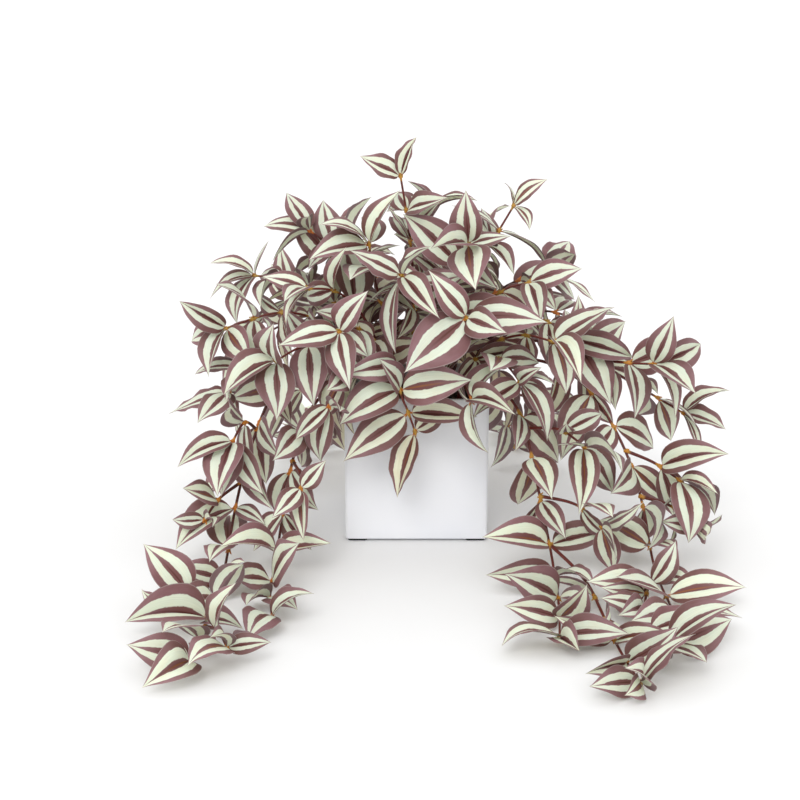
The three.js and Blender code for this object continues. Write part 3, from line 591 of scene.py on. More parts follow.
shoots = [
    # sprigs and stars that the picture shows leaf by leaf
    sprig("top_sprig", (0, -4), [(-2, -8, 190), (-4, -11, 265), (-15, -15, 331)], step=32, size=48,
          stars=[star(1, (-51, -22, 346), (-1, -10, 364), (-22, 6, 352)),
                 star(0.73, (20, -26, 310), (-26, -30, 302), (34, -44, 256), (-20, 24, 290))]),
    sprig("top_left_sprig", (-12, -5), [(-20, -12, 175), (-36, -24, 225), (-43, -30, 272)], step=28,
          size=52,
          stars=[star(1, (-15, -40, 320), (-80, -34, 302), (-96, -52, 262), (-46, 8, 318)),
                 star(0.86, (8, -60, 238), (-62, -86, 250))]),
    sprig("top_right_sprig", (13, 4), [(24, 7, 178), (58, 9, 245), (90, 10, 300)], size=54,
          stars=[star(1, (118, 2, 324), (110, -8, 292), (98, 32, 320)),
                 star(0.8, (44, -24, 284), (100, -28, 260), (60, 42, 290))]),
    sprig("star_front_right", (11, -16), [(18, -34, 175), (32, -74, 220), (43, -105, 219)],
          stars=[star(1, (-12, -124, 176), (111, -116, 219), (8, -110, 261), (68, -90, 272),
                      (76, -132, 206))]),
    sprig("star_front_left", (-14, -17), [(-26, -34, 170), (-52, -74, 206), (-69, -96, 205)], step=28,
          stars=[star(1, (-44, -102, 245), (-119, -106, 192), (-106, -108, 224), (-60, -124, 160),
                      (-36, -112, 182))]),
    sprig("front_sprig", (-4, -36), [(-10, -56, 152), (-18, -88, 178), (-15, -98, 150), (-8, -96, 134),
          (-1, -90, 111)], bare=200,
          stars=[star(0.56, (-65, -111, 171)),
                 star(0.72, (-70, -106, 126), (48, -108, 162), (-24, -124, 200), (16, -124, 190)),
                 star(0.87, (-65, -106, 91), (53, -102, 131)),
                 star(1, (-17, -98, 54), (34, -108, 146))]),
    sprig("star_right", (22, -26), [(36, -46, 160), (70, -78, 184), (91, -98, 159)], step=30,
          stars=[star(1, (48, -114, 134), (99, -110, 107), (126, -104, 106), (130, -114, 158),
                      (112, -100, 192))]),
    sprig("right_high", (24, -8), [(38, -11, 178), (74, -16, 226), (104, -20, 233)], step=28, size=50,
          stars=[star(1, (149, -26, 247), (143, -34, 225), (116, -52, 200), (130, -4, 266))]),
    sprig("right_middle", (36, -7), [(58, -12, 175), (110, -28, 208), (141, -40, 183)], bare=90,
          stars=[star(1, (144, -40, 226), (198, -52, 176), (164, -22, 216), (172, -72, 132))]),
    sprig("left_high", (-24, 2), [(-46, 4, 182), (-100, 9, 228), (-152, 11, 233)], bare=80, size=50,
          stars=[star(1, (-190, 6, 246), (-190, 0, 214), (-166, -18, 194), (-146, 28, 264))]),
    sprig("left_far", (-36, -7), [(-62, -12, 184), (-118, -26, 212), (-174, -40, 194)], bare=90, size=56,
          stars=[star(1, (-213, -40, 220), (-184, -62, 156), (-208, -30, 176), (-150, -72, 172))]),
    # the crown to all sides, and short shoots over the rim
    sprig("crown_front", (-1, -20), [(-2, -32, 190), (-6, -54, 240), (-14, -80, 252)]),
    sprig("crown_front_right", (12, -5), [(20, -14, 190), (36, -36, 250), (46, -56, 276)]),
    sprig("crown_front_left", (-22, -8), [(-34, -18, 180), (-66, -44, 232), (-98, -62, 236)]),
    sprig("crown_left", (-32, -16), [(-52, -28, 168), (-96, -56, 188), (-126, -72, 172)],
          stars=[star(1, (-172, -84, 146), (-130, -104, 128), (-112, -112, 206)),
                 star(0.78, (-88, -96, 138), (-118, -58, 216))]),
    sprig("crown_right", (33, -16), [(52, -28, 170), (92, -56, 196), (122, -74, 190)]),
    sprig("crown_left_top", (-12, 7), [(-20, 10, 190), (-48, 16, 232), (-84, 22, 250)], step=30, size=50),
    sprig("crown_right_top", (24, 6), [(40, 9, 182), (80, 16, 224), (124, 24, 234)], size=54),
    sprig("crown_top_left", (-22, 14), [(-34, 14, 190), (-66, 14, 252), (-100, 12, 276)], bare=90, step=26,
          size=46),
    sprig("crown_top_back", (2, 8), [(4, 14, 200), (8, 30, 260), (14, 44, 290)], step=32, size=52),
    sprig("crown_back_left", (-14, 19), [(-24, 32, 190), (-46, 62, 236), (-62, 92, 244)]),
    sprig("crown_back_right", (13, 18), [(22, 32, 190), (42, 62, 236), (58, 94, 244)]),
    sprig("crown_back", (0, 30), [(0, 50, 170), (-2, 90, 200), (-4, 128, 186)]),
    sprig("crown_left_side", (-36, 6), [(-62, 12, 170), (-112, 28, 190), (-146, 44, 168)]),
    sprig("crown_right_side", (36, 8), [(62, 14, 174), (116, 30, 200), (158, 42, 182)]),
    sprig("crown_left_back", (-28, 20), [(-46, 34, 178), (-90, 68, 206), (-122, 96, 192)]),
    sprig("crown_right_back", (28, 20), [(46, 36, 178), (88, 70, 206), (120, 98, 190)]),
    sprig("rim_left", (-26, -28), [(-42, -50, 150), (-62, -84, 168), (-78, -104, 138)]),
    sprig("rim_back_left", (-10, 38), [(-18, 60, 150), (-34, 94, 170), (-48, 112, 142)]),
    sprig("rim_back_right", (8, 38), [(14, 60, 150), (30, 96, 168), (44, 112, 138)]),
    sprig("rim_right", (10, -38), [(16, -58, 150), (34, -92, 172), (48, -112, 146)]),
    # the left trails
    sprig("left_trail", (-42, -18), [(-74, -30, 172), (-122, -50, 158), (-148, -78, 100), (-162, -112, 44),
          (-166, -148, 9), (-168, -205, 5), (-170, -270, 5), (-174, -336, 6)], bare=100, step=40, size=60,
          stars=[star(1, (-202, -384, 9), (-166, -396, 8), (-220, -340, 22), (-144, -372, 26))]),
    sprig("left_inner_trail", (-38, -32), [(-66, -56, 152), (-98, -80, 132), (-114, -100, 74),
          (-121, -124, 26), (-124, -156, 6), (-124, -205, 5), (-118, -252, 6)], bare=80, step=38, size=58,
          stars=[star(1, (-136, -300, 9), (-98, -298, 10), (-152, -272, 24), (-108, -282, 40))]),
    twig("left_low_branch", "left_trail", 0.24, [(-136, -36, 172), (-156, -46, 160), (-170, -58, 138)],
         size=54),
    twig("left_upper_twig", "left_trail", 0.36, [(-152, -92, 126), (-162, -110, 108)], size=56),
    twig("left_middle_twig", "left_trail", 0.46, [(-176, -112, 58), (-186, -134, 44)], size=53),
    twig("left_floor_twig", "left_trail", 0.68, [(-186, -226, 18), (-196, -254, 14)], size=50),
    twig("left_end_twig", "left_trail", 0.86, [(-156, -296, 16), (-146, -326, 12)], size=48),
    twig("left_inner_twig", "left_inner_trail", 0.42, [(-100, -124, 84), (-101, -138, 74)], size=48,
         stars=[star(1, (-97, -158, 36), (-117, -164, 54), (-78, -132, 100))]),
    # the right trails
    sprig("right_far", (44, -2), [(78, -8, 176), (134, -20, 178), (190, -30, 146), (246, -40, 114)],
          bare=110, size=56,
          stars=[star(1, (282, -52, 104), (303, -44, 110), (256, -66, 80), (270, -42, 142))]),
    twig("right_far_twig", "right_far", 0.62, [(186, -60, 168), (212, -72, 170)]),
    sprig("right_outer_trail", (42, -16), [(74, -26, 168), (142, -50, 162), (182, -78, 106),
          (200, -108, 54), (204, -142, 12), (206, -192, 5), (208, -248, 6)], bare=96, step=38, size=58),
    twig("right_outer_twig", "right_outer_trail", 0.52, [(210, -100, 88), (230, -124, 78)]),
    twig("right_outer_side", "right_outer_trail", 0.62, [(224, -122, 56), (240, -144, 42)], size=50),
    twig("right_outer_low", "right_outer_trail", 0.8, [(188, -220, 16), (182, -248, 12)], size=50),
    sprig("right_trail", (36, -30), [(60, -50, 150), (92, -78, 136), (106, -104, 70), (116, -132, 22),
          (118, -164, 6), (116, -226, 5), (110, -292, 6)], bare=80, step=40, size=60),
    twig("right_upper_twig", "right_trail", 0.3, [(126, -106, 122), (146, -124, 108)]),
    twig("right_middle_twig", "right_trail", 0.46, [(140, -134, 62), (160, -150, 44)]),
    twig("right_floor_branch", "right_trail", 0.575, [(142, -188, 14), (150, -250, 5), (154, -312, 5),
         (162, -372, 6)], bare=34, step=38, size=60),
    twig("right_end_twig", "right_floor_branch", 0.63, [(176, -292, 16), (192, -320, 12)]),
    # the back trails
    sprig("back_left_trail", (-20, 36), [(-40, 66, 160), (-66, 106, 150), (-84, 140, 80), (-94, 168, 16),
          (-104, 206, 5), (-118, 246, 6)], bare=90, step=38),
    sprig("back_right_trail", (20, 36), [(40, 66, 160), (70, 104, 146), (92, 136, 70), (104, 164, 14),
          (112, 204, 5), (110, 242, 6)], bare=90, step=38),
    twig("back_left_twig", "back_left_trail", 0.52, [(-112, 138, 92), (-134, 150, 72)]),
    twig("back_right_twig", "back_right_trail", 0.52, [(118, 128, 84), (140, 138, 62)]),
]


def unit(vector):
    return vector / np.linalg.norm(vector)


# Cuts the corners of a bent line once, so that it turns more gently.
def smooth(points):
    cut, last = stemSettings["cornerCut"], len(points) - 2
    line = [points[0]]
    for k in range(last + 1):
        step = points[k + 1] - points[k]
        if k > 0:
            line.append(points[k] + step * cut)
        if k < last:
            line.append(points[k] + step * (1 - cut))
    return line + [points[-1]]


def lengthOf(line):
    return sum(np.linalg.norm(line[k + 1] - line[k]) for k in range(len(line) - 1))


# The point and the direction of a line at a distance from its start.
def along(line, distance):
    for k in range(len(line) - 1):
        step = line[k + 1] - line[k]
        span = np.linalg.norm(step)
        if distance <= span or k == len(line) - 2:
            return line[k] + step / span * min(distance, span), step / span
        distance -= span


# A side shoot starts just clear of the stem that carries it.
sideGap = stemSettings["radius"] * 2 + stemSettings["gap"]


def stemLine(shoot, lines):
    points = [np.array(point, dtype=float) for point in shoot["path"]]
    if "carrier" in shoot:
        carrier = lines[shoot["carrier"]]
        start, _ = along(carrier, lengthOf(carrier) * shoot["at"])
        points.insert(0, start + unit(points[0] - start) * sideGap)
    return smooth(points)


lines = {}
for shoot in shoots:
    lines[shoot["name"]] = stemLine(shoot, lines)


# The same row of numbers from 0 to 1 on every run.
def draws(seed):
    state = (seed * 2654435761 + 12345) & 0xFFFFFFFF

    def draw():
        nonlocal state
        state = (state * 1664525 + 1013904223) & 0xFFFFFFFF
        return state / 0x100000000

    return draw


def between(ends, share):
    return ends[0] + (ends[1] - ends[0]) * share


bladeSettings = {
    "clearance": 2.0, "stalk": 0.06, "widest": 0.4, "taper": 1.35, "stalkHalf": 1.1, "ratio": 0.58,
}


# Half the width of a blade along it, as a share of its widest.
def outline(s):
    stalk, widest, taper = bladeSettings["stalk"], bladeSettings["widest"], bladeSettings["taper"]
    base = np.clip((widest - s) / (widest - stalk), 0, 1)
    rest = np.clip((s - widest) / (1 - widest), 0, 1)
    return np.where(s < widest, np.sqrt(1 - base ** 2), (1 - rest) ** taper * (1 + taper * rest))


# A leaf runs from its joint to its tip, bends towards its underside, folds up along its middle
# line and twists a little on the way.
def leafTo(joint, tip, towards, shape):
    chord = tip - joint
    reach = np.linalg.norm(chord)
    u = chord / reach
    n = unit(towards - u * towards.dot(u))
    n = n * cos(shape["roll"]) + np.cross(u, n) * sin(shape["roll"])
    half = shape["bend"] / 2
    way = u * cos(half) + n * sin(half)
    up = n * cos(half) - u * sin(half)
    length = reach * half / sin(half)
    return {**shape, "joint": joint, "way": way, "up": up, "side": np.cross(way, up),
            "length": length, "width": length * shape["ratio"]}


# Points of a leaf: s from base to tip, across from -1 to 1, lifted off the middle of the blade.
def leafPoints(leaf, s, across, lift):
    s, across, lift = (part[..., None] for part in np.broadcast_arrays(s, across, lift))
    turn = leaf["bend"] * s
    forward = leaf["length"] * np.sin(turn) / leaf["bend"]
    drop = leaf["length"] * (1 - np.cos(turn)) / leaf["bend"]
    up = leaf["up"] * np.cos(turn) + leaf["way"] * np.sin(turn)
    half = np.maximum(leaf["width"] / 2 * outline(s), bladeSettings["stalkHalf"] * (1 - s))
    lean = leaf["twist"] * s
    side = leaf["side"] * np.cos(lean) + up * np.sin(lean)
    over = up * np.cos(lean) - leaf["side"] * np.sin(lean)
    return (leaf["joint"] + leaf["way"] * forward - leaf["up"] * drop
            + side * half * across * cos(leaf["fold"])
            + over * (half * np.abs(across) * sin(leaf["fold"]) + lift))


# A grid of points as two triangles to each cell, with the box around it, for the room tests.
def netOf(grid):
    faces = [face for a, b, c, d in gridFaces(*grid.shape[:2]) for face in ((a, d, b), (b, d, c))]
    points = grid.reshape(-1, 3)
    tree = BVHTree.FromPolygons(points.tolist(), faces, all_triangles=True)
    return points.min(axis=0), points.max(axis=0), tree


class Room:
    def __init__(self):
        self.nets = []
        self.low = np.empty((0, 3))
        self.high = np.empty((0, 3))

    def add(self, net):
        self.nets.append(net)
        self.low = np.vstack([self.low, net[0]])
        self.high = np.vstack([self.high, net[1]])

    def meets(self, net, skip=None):
        near = np.all((self.low <= net[1]) & (self.high >= net[0]), axis=1)
        return any(k != skip and self.nets[k][2].overlap(net[2]) for k in np.flatnonzero(near))


# Where a leaf is tested for room: rows along it, and a shell around its blade
bladeTest = np.array([0.13, 0.36, 0.6, 0.82, 1.0])
wholeTest = np.array([0.04, *bladeTest])
shellAcross = np.array([1, 0, -1, -1, 0, 1, 1])
shellLift = np.array([1, 1, 1, -1, -1, -1, 1]) * bladeSettings["clearance"]
ribbonWidth = 0.4


# A thin net along a line, for stems and for the pot's rim.
def ribbon(line):
    line = np.array(line)
    return netOf(np.stack([line, line + ribbonWidth], axis=1))


stemRoom, leafRoom = Room(), Room()
for shoot in shoots:
    stemRoom.add(ribbon(lines[shoot["name"]]))
potSide = potSettings["width"] / 2
rimCorners = np.array([(-1, -1), (1, -1), (1, 1), (-1, 1), (-1, -1)]) * potSide
for k in range(4):
    stemRoom.add(ribbon([(*rimCorners[k], rimZ), (*rimCorners[k + 1], rimZ)]))


growth = {
    "atJoint": 2, "atEnd": 4,                         # leaves at a joint and at a stem's end
    "turn": 137.5, "shootTurn": 67,                   # degrees from joint to joint and from shoot to shoot
    "tries": 26, "shrinkAfter": 10, "shrink": 0.8,
    "floor": 0.8, "slack": 2.0,                       # space to the surface and to the pot
    "shootSeeds": 4096, "leafSeeds": 64, "formSeed": 77, "stemSeed": 900,
}
# How leaves stand: angles in degrees, ranges as their two ends, and how far tries wander
habit = {
    "spreadAtJoint": 62, "spreadAtEnd": 50, "spreadRange": 34, "angleRange": 50, "droop": 0.38,
    "roll": 64, "rollToTip": 36, "twist": 56, "bend": (0.25, 1.2), "fold": (4, 48), "ratio": (0.84, 1.16),
    "size": (0.66, 1.16), "wander": 0.16, "jitter": 0.09,
}
low = {"height": 45, "rise": (0.14, 0.5), "up": 1.3}  # leaves near the surface lie along it
facing = {"light": 0.8, "tip": 0.35, "front": 0.5, "depth": 90, "least": 0.05}
light = np.array([0.0, -0.85, 0.53])
heart = np.array([0.0, 25.0, 60.0])


def fits(leaf, index):
    shell = leafPoints(leaf, wholeTest[:, None], shellAcross, shellLift)
    inPot = np.all(np.abs(shell[..., :2]) < potSide + growth["slack"], axis=-1)
    inPot &= shell[..., 2] < rimZ + growth["slack"]
    if inPot.any() or shell[..., 2].min() <= growth["floor"]:
        return False
    return not stemRoom.meets(netOf(shell), index) and not leafRoom.meets(netOf(shell[1:]))


# A leaf's upper side faces out from the plant, more so in front towards the light, and up where
# the leaf is near the surface.
def facingAt(joint, aim):
    share = min(max(facing["front"] - joint[1] / facing["depth"], facing["least"]), 1)
    outward = unit(joint - heart)
    outward[2] += low["up"] * max(0, 1 - joint[2] / low["height"])
    return outward + light * facing["light"] * share + unit(aim) * facing["tip"]


# Where a shoot's leaves want to be: a direction from a joint, or a chosen tip.
def wishes(shoot, index):
    line = lines[shoot["name"]]
    total = lengthOf(line) - 2 * stemSettings["radius"]
    found = []
    for star in shoot["stars"]:
        point, way = along(line, star["at"] * total)
        found += [{"point": point, "way": way, "tip": np.array(tip, dtype=float)} for tip in star["tips"]]
    place, joint = total, 0
    while place >= shoot["bare"]:
        if all(abs(star["at"] * total - place) >= shoot["step"] / 2 for star in shoot["stars"]):
            point, way = along(line, place)
            count = growth["atJoint"] if joint else growth["atEnd"]
            spread = habit["spreadAtJoint"] if joint else habit["spreadAtEnd"]
            for k in range(count):
                angle = index * growth["shootTurn"] + joint * growth["turn"] + k * 360 / count
                found.append({"point": point, "way": way, "angle": angle, "spread": spread})
        place -= shoot["step"]
        joint += 1
    return found


def leafTry(wish, shoot, seed, turn):
    draw = draws(seed)

    def swing(amount):
        return radians((draw() - 0.5) * amount)

    wander = 1 + turn * habit["wander"]
    roll = habit["rollToTip"] if "tip" in wish else habit["roll"]
    shape = {"roll": swing(roll * wander),
             "bend": between(habit["bend"], draw()),
             "fold": radians(between(habit["fold"], draw() ** 2)),
             "twist": swing(habit["twist"]),
             "ratio": bladeSettings["ratio"] * between(habit["ratio"], draw())}
    shrink = 1 if turn < growth["shrinkAfter"] else growth["shrink"]
    point, way = wish["point"], wish["way"]
    if "tip" in wish:
        aim = wish["tip"] - point
        reach = np.linalg.norm(aim)
        jitter = np.array([draw() - 0.5, draw() - 0.5, draw() - 0.5])
        aim = unit(aim + jitter * reach * habit["jitter"] * turn) * reach * shrink
    else:
        across = unit(np.cross(way, nearlyUp))
        over = np.cross(across, way)
        angle = radians(wish["angle"]) + swing(habit["angleRange"] * wander)
        spread = radians(wish["spread"]) + swing(habit["spreadRange"] * wander)
        aim = (way * cos(spread) + across * cos(angle) * sin(spread)
               + over * sin(angle) * sin(spread))
        aim[2] -= habit["droop"]
        if point[2] < low["height"]:
            aim[2] = min(max(aim[2], low["rise"][0]), low["rise"][1])
        aim = unit(aim) * shoot["size"] * between(habit["size"], draw()) * shrink
    return leafTo(point, point + aim, facingAt(point, aim), shape)


# Each leaf takes the first of its tries that clears everything before it, chosen tips first.
def growLeaves():
    leaves = {shoot["name"]: [] for shoot in shoots}
    wanted = [(index, order, wish) for index, shoot in enumerate(shoots)
              for order, wish in enumerate(wishes(shoot, index))]
    wanted.sort(key=lambda entry: "tip" not in entry[2])
    for index, order, wish in wanted:
        shoot = shoots[index]
        for turn in range(growth["tries"]):
            seed = index * growth["shootSeeds"] + order * growth["leafSeeds"] + turn
            leaf = leafTry(wish, shoot, seed, turn)
            if fits(leaf, index):
                leaf["seed"] = seed
                leafRoom.add(netOf(leafPoints(leaf, bladeTest[:, None], np.array([1, 0, -1]), 0.0)))
                leaves[shoot["name"]].append(leaf)
                break
    return leaves


leaves = growLeaves()
print("leaves laid out:", sum(len(found) for found in leaves.values()))


# How far along the stem each of its leaves stands, with its foot where another stem carries it.
def jointPlaces(shoot, curve, found):
    spots = np.arange(0, lengthOf(curve), stemSettings["search"])
    points = np.array([along(curve, place)[0] for place in spots])
    joints = []
    for leaf in found:
        nearest = spots[int(np.argmin(np.linalg.norm(points - leaf["joint"], axis=1)))]
        if all(abs(nearest - other) > stemSettings["apart"] for other in joints):
            joints.append(nearest)
    return joints + [0.0] if "carrier" in shoot else joints


# The stem's middle line as it is drawn: a side shoot's starts inside the stem that carries it.
def stemCurve(shoot):
    line = smooth(smooth(lines[shoot["name"]]))
    total = lengthOf(line)
    count = max(4, int(total / stemSettings["step"]))
    curve = [along(line, total * k / count)[0] for k in range(count + 1)]
    if "carrier" in shoot:
        curve.insert(0, curve[0] - unit(curve[1] - curve[0]) * sideGap)
    return np.array(curve)


# Where a stem has its rings: evenly along it, and closer at its joints.
def ringPlaces(curve, joints, total):
    fine = [joint + offset for joint in joints for offset in stemSettings["collar"]
            if 0 < joint + offset < total]
    steps = [total * k / (len(curve) - 1) for k in range(len(curve))]
    gap = stemSettings["ringGap"]
    return sorted(fine + [place for place in steps if all(abs(place - other) > gap for other in fine)])


# A stem thins towards its tip and swells into a knobbly collar at each joint.
def makeStem(shoot, index, found):
    curve = stemCurve(shoot)
    total = lengthOf(curve)
    joints = jointPlaces(shoot, curve, found)
    spots = ringPlaces(curve, joints, total)
    sides, uvLength = stemSettings["sides"], stemSettings["uvLength"]
    draw = draws(index + growth["stemSeed"])
    tone = draw()
    ring = np.cross(curve[1] - curve[0], nearlyUp)
    points, uvs, near, faces = [], [], [], []
    for place in spots:
        point, way = along(curve, place)
        ring = unit(ring - way * ring.dot(way))
        other = np.cross(way, ring)
        gap = min((abs(place - joint) for joint in joints), default=total)
        knob = exp(-(gap / stemSettings["jointReach"]) ** 2)
        radius = between((stemSettings["base"], stemSettings["tip"]), place / total)
        radius += stemSettings["joint"] * knob
        for side in range(sides):
            angle = side / sides * 2 * pi
            bump = radius + stemSettings["knobble"] * knob * (draw() - 0.4)
            points.append(point + (ring * cos(angle) + other * sin(angle)) * bump)
            uvs.append((side / sides * stemSettings["uvRound"], place / uvLength))
            near.append(exp(-(gap / stemSettings["goldReach"]) ** 2))
    for k in range(len(spots) - 1):
        faces += bridge(k * sides, (k + 1) * sides, sides)
    faces.append(tuple(reversed(range(sides))))
    point, way = along(curve, total)
    points.append(point + way * stemSettings["tip"])
    uvs.append((stemSettings["uvRound"] / 2, total / uvLength))
    near.append(1.0)
    last = (len(spots) - 1) * sides
    faces += [(last + side, last + (side + 1) % sides, len(points) - 1) for side in range(sides)]
    for joint in joints:
        point, way = along(curve, joint)
        for k in range(scaleSettings["count"]):
            addScale(point, way, k, draw, points, uvs, near, faces)
    stem = makePiece("stem_" + shoot["name"], points, faces, stemMaterial, uvs=uvs,
                     marks={"nearJoint": near, "stemTone": [tone] * len(points)}, sharp=70)
    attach(stem, "root")
    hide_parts("shoot_" + shoot["name"])
    return curve


# A thin sheet from a grid of points for its upper side and one for its underside: their cells,
# and the cells between them along the two sides and the foot.
def sheetFaces(rows, columns, first=0):
    flat = rows * columns
    faces = gridFaces(rows, columns, first)
    faces += [(flat + a, flat + d, flat + c, flat + b) for a, b, c, d in faces]
    for row in range(first, first + (rows - 1) * columns, columns):
        side = row + columns - 1
        faces.append((row, row + columns, flat + row + columns, flat + row))
        faces.append((side, flat + side, flat + side + columns, side + columns))
    return faces + [(k + 1, k, flat + k, flat + k + 1) for k in range(first, first + columns - 1)]


scaleSettings = {
    "count": 3, "length": (3.2, 6.0), "lean": (0.3, 2.2), "half": 1.3, "thick": 0.3, "start": -1.6,
    "stand": 0.5, "cup": 0.35,         # off the stem, and how far the edges curl in
    "widths": (1.0, 1.05, 0.7, 0.12),  # from foot to point
}


# The dry sheath at a joint: short pointed scales that stand off the stem.
def addScale(point, way, k, draw, points, uvs, near, faces):
    ring = unit(np.cross(way, nearlyUp))
    other = np.cross(way, ring)
    angle = (k + 0.5 * draw()) / scaleSettings["count"] * 2 * pi
    out = ring * cos(angle) + other * sin(angle)
    side = np.cross(way, out)
    length = between(scaleSettings["length"], draw())
    lean = between(scaleSettings["lean"], draw())
    first, widths = len(points), scaleSettings["widths"]
    for sheet in (0, 1):
        for row, width in enumerate(widths):
            up = row / (len(widths) - 1)
            rise = scaleSettings["start"] + length * up
            stand = stemSettings["base"] + scaleSettings["stand"] + lean * up ** 2
            stand -= sheet * scaleSettings["thick"] * (1.2 - up)
            for across in (-1, 0, 1):
                cup = 1 - scaleSettings["cup"] * abs(across)
                points.append(point + way * rise + out * stand * cup
                              + side * across * width * scaleSettings["half"])
                uvs.append((0.05 + across * 0.03, rise / stemSettings["uvLength"] + k * 0.3))
                near.append(0.8)
    faces += sheetFaces(len(widths), 3, first)
    flat, end = 3 * len(widths), first + 3 * (len(widths) - 1)
    faces += [(a, a + 1, a + flat + 1, a + flat) for a in (end, end + 1)]


leafRows = np.array([0, 0.03, 0.056, 0.066, 0.08, 0.10, 0.13, 0.17, 0.22, 0.28, 0.34, 0.40, 0.47, 0.54,
                     0.61, 0.68, 0.75, 0.81, 0.86, 0.905, 0.94, 0.97, 0.99])
leafColumns = np.array([-1, -0.86, -0.62, -0.36, -0.14, 0, 0.14, 0.36, 0.62, 0.86, 1])
leafForm = {
    "thick": 0.42, "stalkThick": 0.75,               # mm on the middle line, and what the stalk adds
    "stalk": 0.09,                                   # how far up the leaf the stalk goes
    "arch": (0.03, 0.09),                            # how round the halves are, as a share of their width
    "wave": (0.25, 1.5), "beats": (1.2, 3.4),        # of the edges: mm, and how many
    "curl": (-2.2, 3.0), "curlFrom": 0.55,           # mm that the tip bends back, or up where less than 0
    "groove": 0.35, "grooveHalf": 0.1, "vein": 0.07, "veins": 5,
    "sway": (-0.07, 0.07), "swayBeats": (0.5, 1.4),  # sideways, as a share of the length
    "lopsided": (-0.07, 0.07),
    "settle": 0.35,                                  # the share that leans over to meet the drawn stem
    "outside": np.array([190.0, 150.0, 215.0]),      # the plant's reach around its heart, for the painted shade of inner leaves
}


# 0 where the value is 0, rising evenly to 1 and staying there.
def ramp(value, rate):
    return np.clip(value * rate, 0, 1)


# The fine form of one leaf: veined, wavy at the edges, swaying and curling towards its tip.
def leafMesh(leaf, nudge):
    draw = draws(leaf["seed"] + growth["formSeed"])
    s, across = leafRows[:, None], leafColumns[None, :]
    away = np.abs(across)
    half = leaf["width"] / 2 * outline(s)
    arch = between(leafForm["arch"], draw()) * half * (4 * away * (1 - away)) * ramp(s, 5)
    wave = between(leafForm["wave"], draw() ** 2)
    phase, beats = draw() * 2 * pi, between(leafForm["beats"], draw())
    ripple = wave * away ** 3 * np.sin(2 * pi * beats * s + phase + across * 0.9)
    ripple = ripple * ramp(s, 4) * ramp(1 - s, 4)
    curl = between(leafForm["curl"], draw()) * ramp(s - leafForm["curlFrom"], 1) ** 2 * 5
    groove = leafForm["groove"] * np.exp(-(across / leafForm["grooveHalf"]) ** 2) * ramp(s, 6) * (1 - s)
    veins = leafForm["vein"] * np.cos(away * pi * leafForm["veins"]) * ramp(s, 5) * (1 - s)
    middle = arch + ripple - curl - groove + veins
    sway = between(leafForm["sway"], draw()) * leaf["length"] * s
    sway = sway * np.sin(s * pi * between(leafForm["swayBeats"], draw()))
    lopsided = 1 + between(leafForm["lopsided"], draw()) * np.sign(across) * ramp(1 - s, 3)
    thick = leafForm["thick"] * (1 - 0.45 * away ** 2) * (1 - 0.5 * s) / 2
    stalk = leafForm["stalkThick"] * np.clip(1 - s / leafForm["stalk"], 0, 1)
    thick = thick + stalk * np.sqrt(1.02 - away ** 2)
    settle = np.clip(1 - s / leafForm["settle"], 0, 1) ** 2
    shift = settle[..., None] * nudge + sway[..., None] * leaf["side"]
    top, under = (leafPoints(leaf, s, across * lopsided, lift) + shift
                  for lift in (middle + thick, middle - thick))
    spine = (top[:, 5] + under[:, 5]) / 2
    points = np.concatenate([top.reshape(-1, 3), under.reshape(-1, 3), [spine[-1] * 2 - spine[-2]]])
    rows, columns = top.shape[:2]
    flat = rows * columns
    tip = 2 * flat
    faces = sheetFaces(rows, columns)
    for k in range(flat - columns, flat - 1):
        faces.append((k, k + 1, tip))
        faces.append((flat + k + 1, flat + k, tip))
    faces.append((flat - columns, tip, tip - columns))
    faces.append((flat - 1, tip - 1, tip))
    u = np.broadcast_to((across + 1) / 2, (rows, columns)).ravel()
    v = np.broadcast_to(s, (rows, columns)).ravel()
    uvs = np.concatenate([np.stack([u, v], axis=1)] * 2 + [[(0.5, 1.0)]])
    return points, faces, uvs, np.concatenate([np.zeros(flat), np.ones(flat), [0.5]]), draw()


# 1 for a leaf deep inside the plant, 0 for one at its outside: the share of painted shade in its colour.
def insideShadeOf(leaf):
    middle = leafPoints(leaf, np.array(0.5), np.array(0.0), np.array(0.0))
    reach = np.linalg.norm((middle - heart) / leafForm["outside"])
    return float(ramp(1 - reach, 2.2))


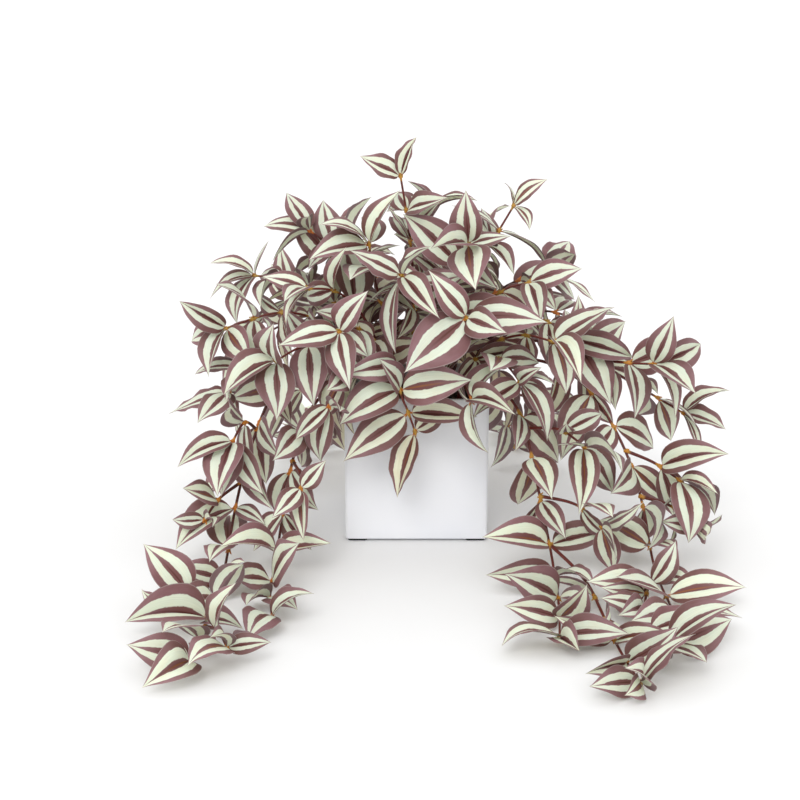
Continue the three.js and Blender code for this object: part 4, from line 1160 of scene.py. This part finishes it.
def makeLeaves(shoot, curve, found):
    parts, faces, first = [], [], 0
    for leaf in found:
        nearest = curve[np.argmin(np.linalg.norm(curve - leaf["joint"], axis=1))]
        grid, cells, places, side, tone = leafMesh(leaf, nearest - leaf["joint"])
        parts.append((grid, places, side, np.full(len(grid), tone), np.full(len(grid), insideShadeOf(leaf))))
        faces += [tuple(first + corner for corner in cell) for cell in cells]
        first += len(grid)
    points, uvs, under, tones, inside = (np.concatenate(part) for part in zip(*parts))
    # the inside mark sets the painted shade of leaves deep in the plant
    marks = {"leafTone": tones, "leafUnder": under, "leafInsideShade": inside}
    piece = makePiece("leaves_" + shoot["name"], points, faces, leafMaterial, uvs=uvs, marks=marks)
    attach(piece, "root")
    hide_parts("shoot_" + shoot["name"])


for index, shoot in enumerate(shoots):
    found = leaves[shoot["name"]]
    curve = makeStem(shoot, index, found)
    if found:
        makeLeaves(shoot, curve, found)
print("shoots made:", len(shoots))


studio = {
    "floor": (colour(240, 240, 240), colour(244, 244, 244)), "floorSize": 60.0, "floorRough": 0.8,
    "world": 1.04,
    "key": 0.95, "keyTurn": (46, 0, -18), "keySoft": 30.0,
}


def makeFloor(settings):
    half = settings["floorSize"] / 2
    mesh = bpy.data.meshes.new("floor")
    mesh.from_pydata([(-half, -half, 0), (half, -half, 0), (half, half, 0), (-half, half, 0)], [],
                     [(0, 1, 2, 3)])
    material, tree, shader = newMaterial("paleFloor", settings["floorRough"])
    cloud = noiseNode(tree, placeNode(tree), 3.0, 3.0)
    link(tree, mixNode(tree, cloud, *settings["floor"]), shader.inputs["Base Color"])
    mesh.materials.append(material)
    floor = addObject("floor", mesh)


def addLight(settings):
    world = bpy.data.worlds.new("studio")
    world.use_nodes = True
    background = world.node_tree.nodes["Background"]
    background.inputs["Color"].default_value = (1, 1, 1, 1)
    background.inputs["Strength"].default_value = settings["world"]
    bpy.context.scene.world = world
    data = bpy.data.lights.new("key", "SUN")
    data.energy = settings["key"]
    data.angle = radians(settings["keySoft"])
    key = addObject("key", data)
    key.rotation_euler = [radians(angle) for angle in settings["keyTurn"]]
    bpy.context.scene.view_settings.view_transform = "Standard"


makeFloor(studio)
addLight(studio)
print("floor and light set")
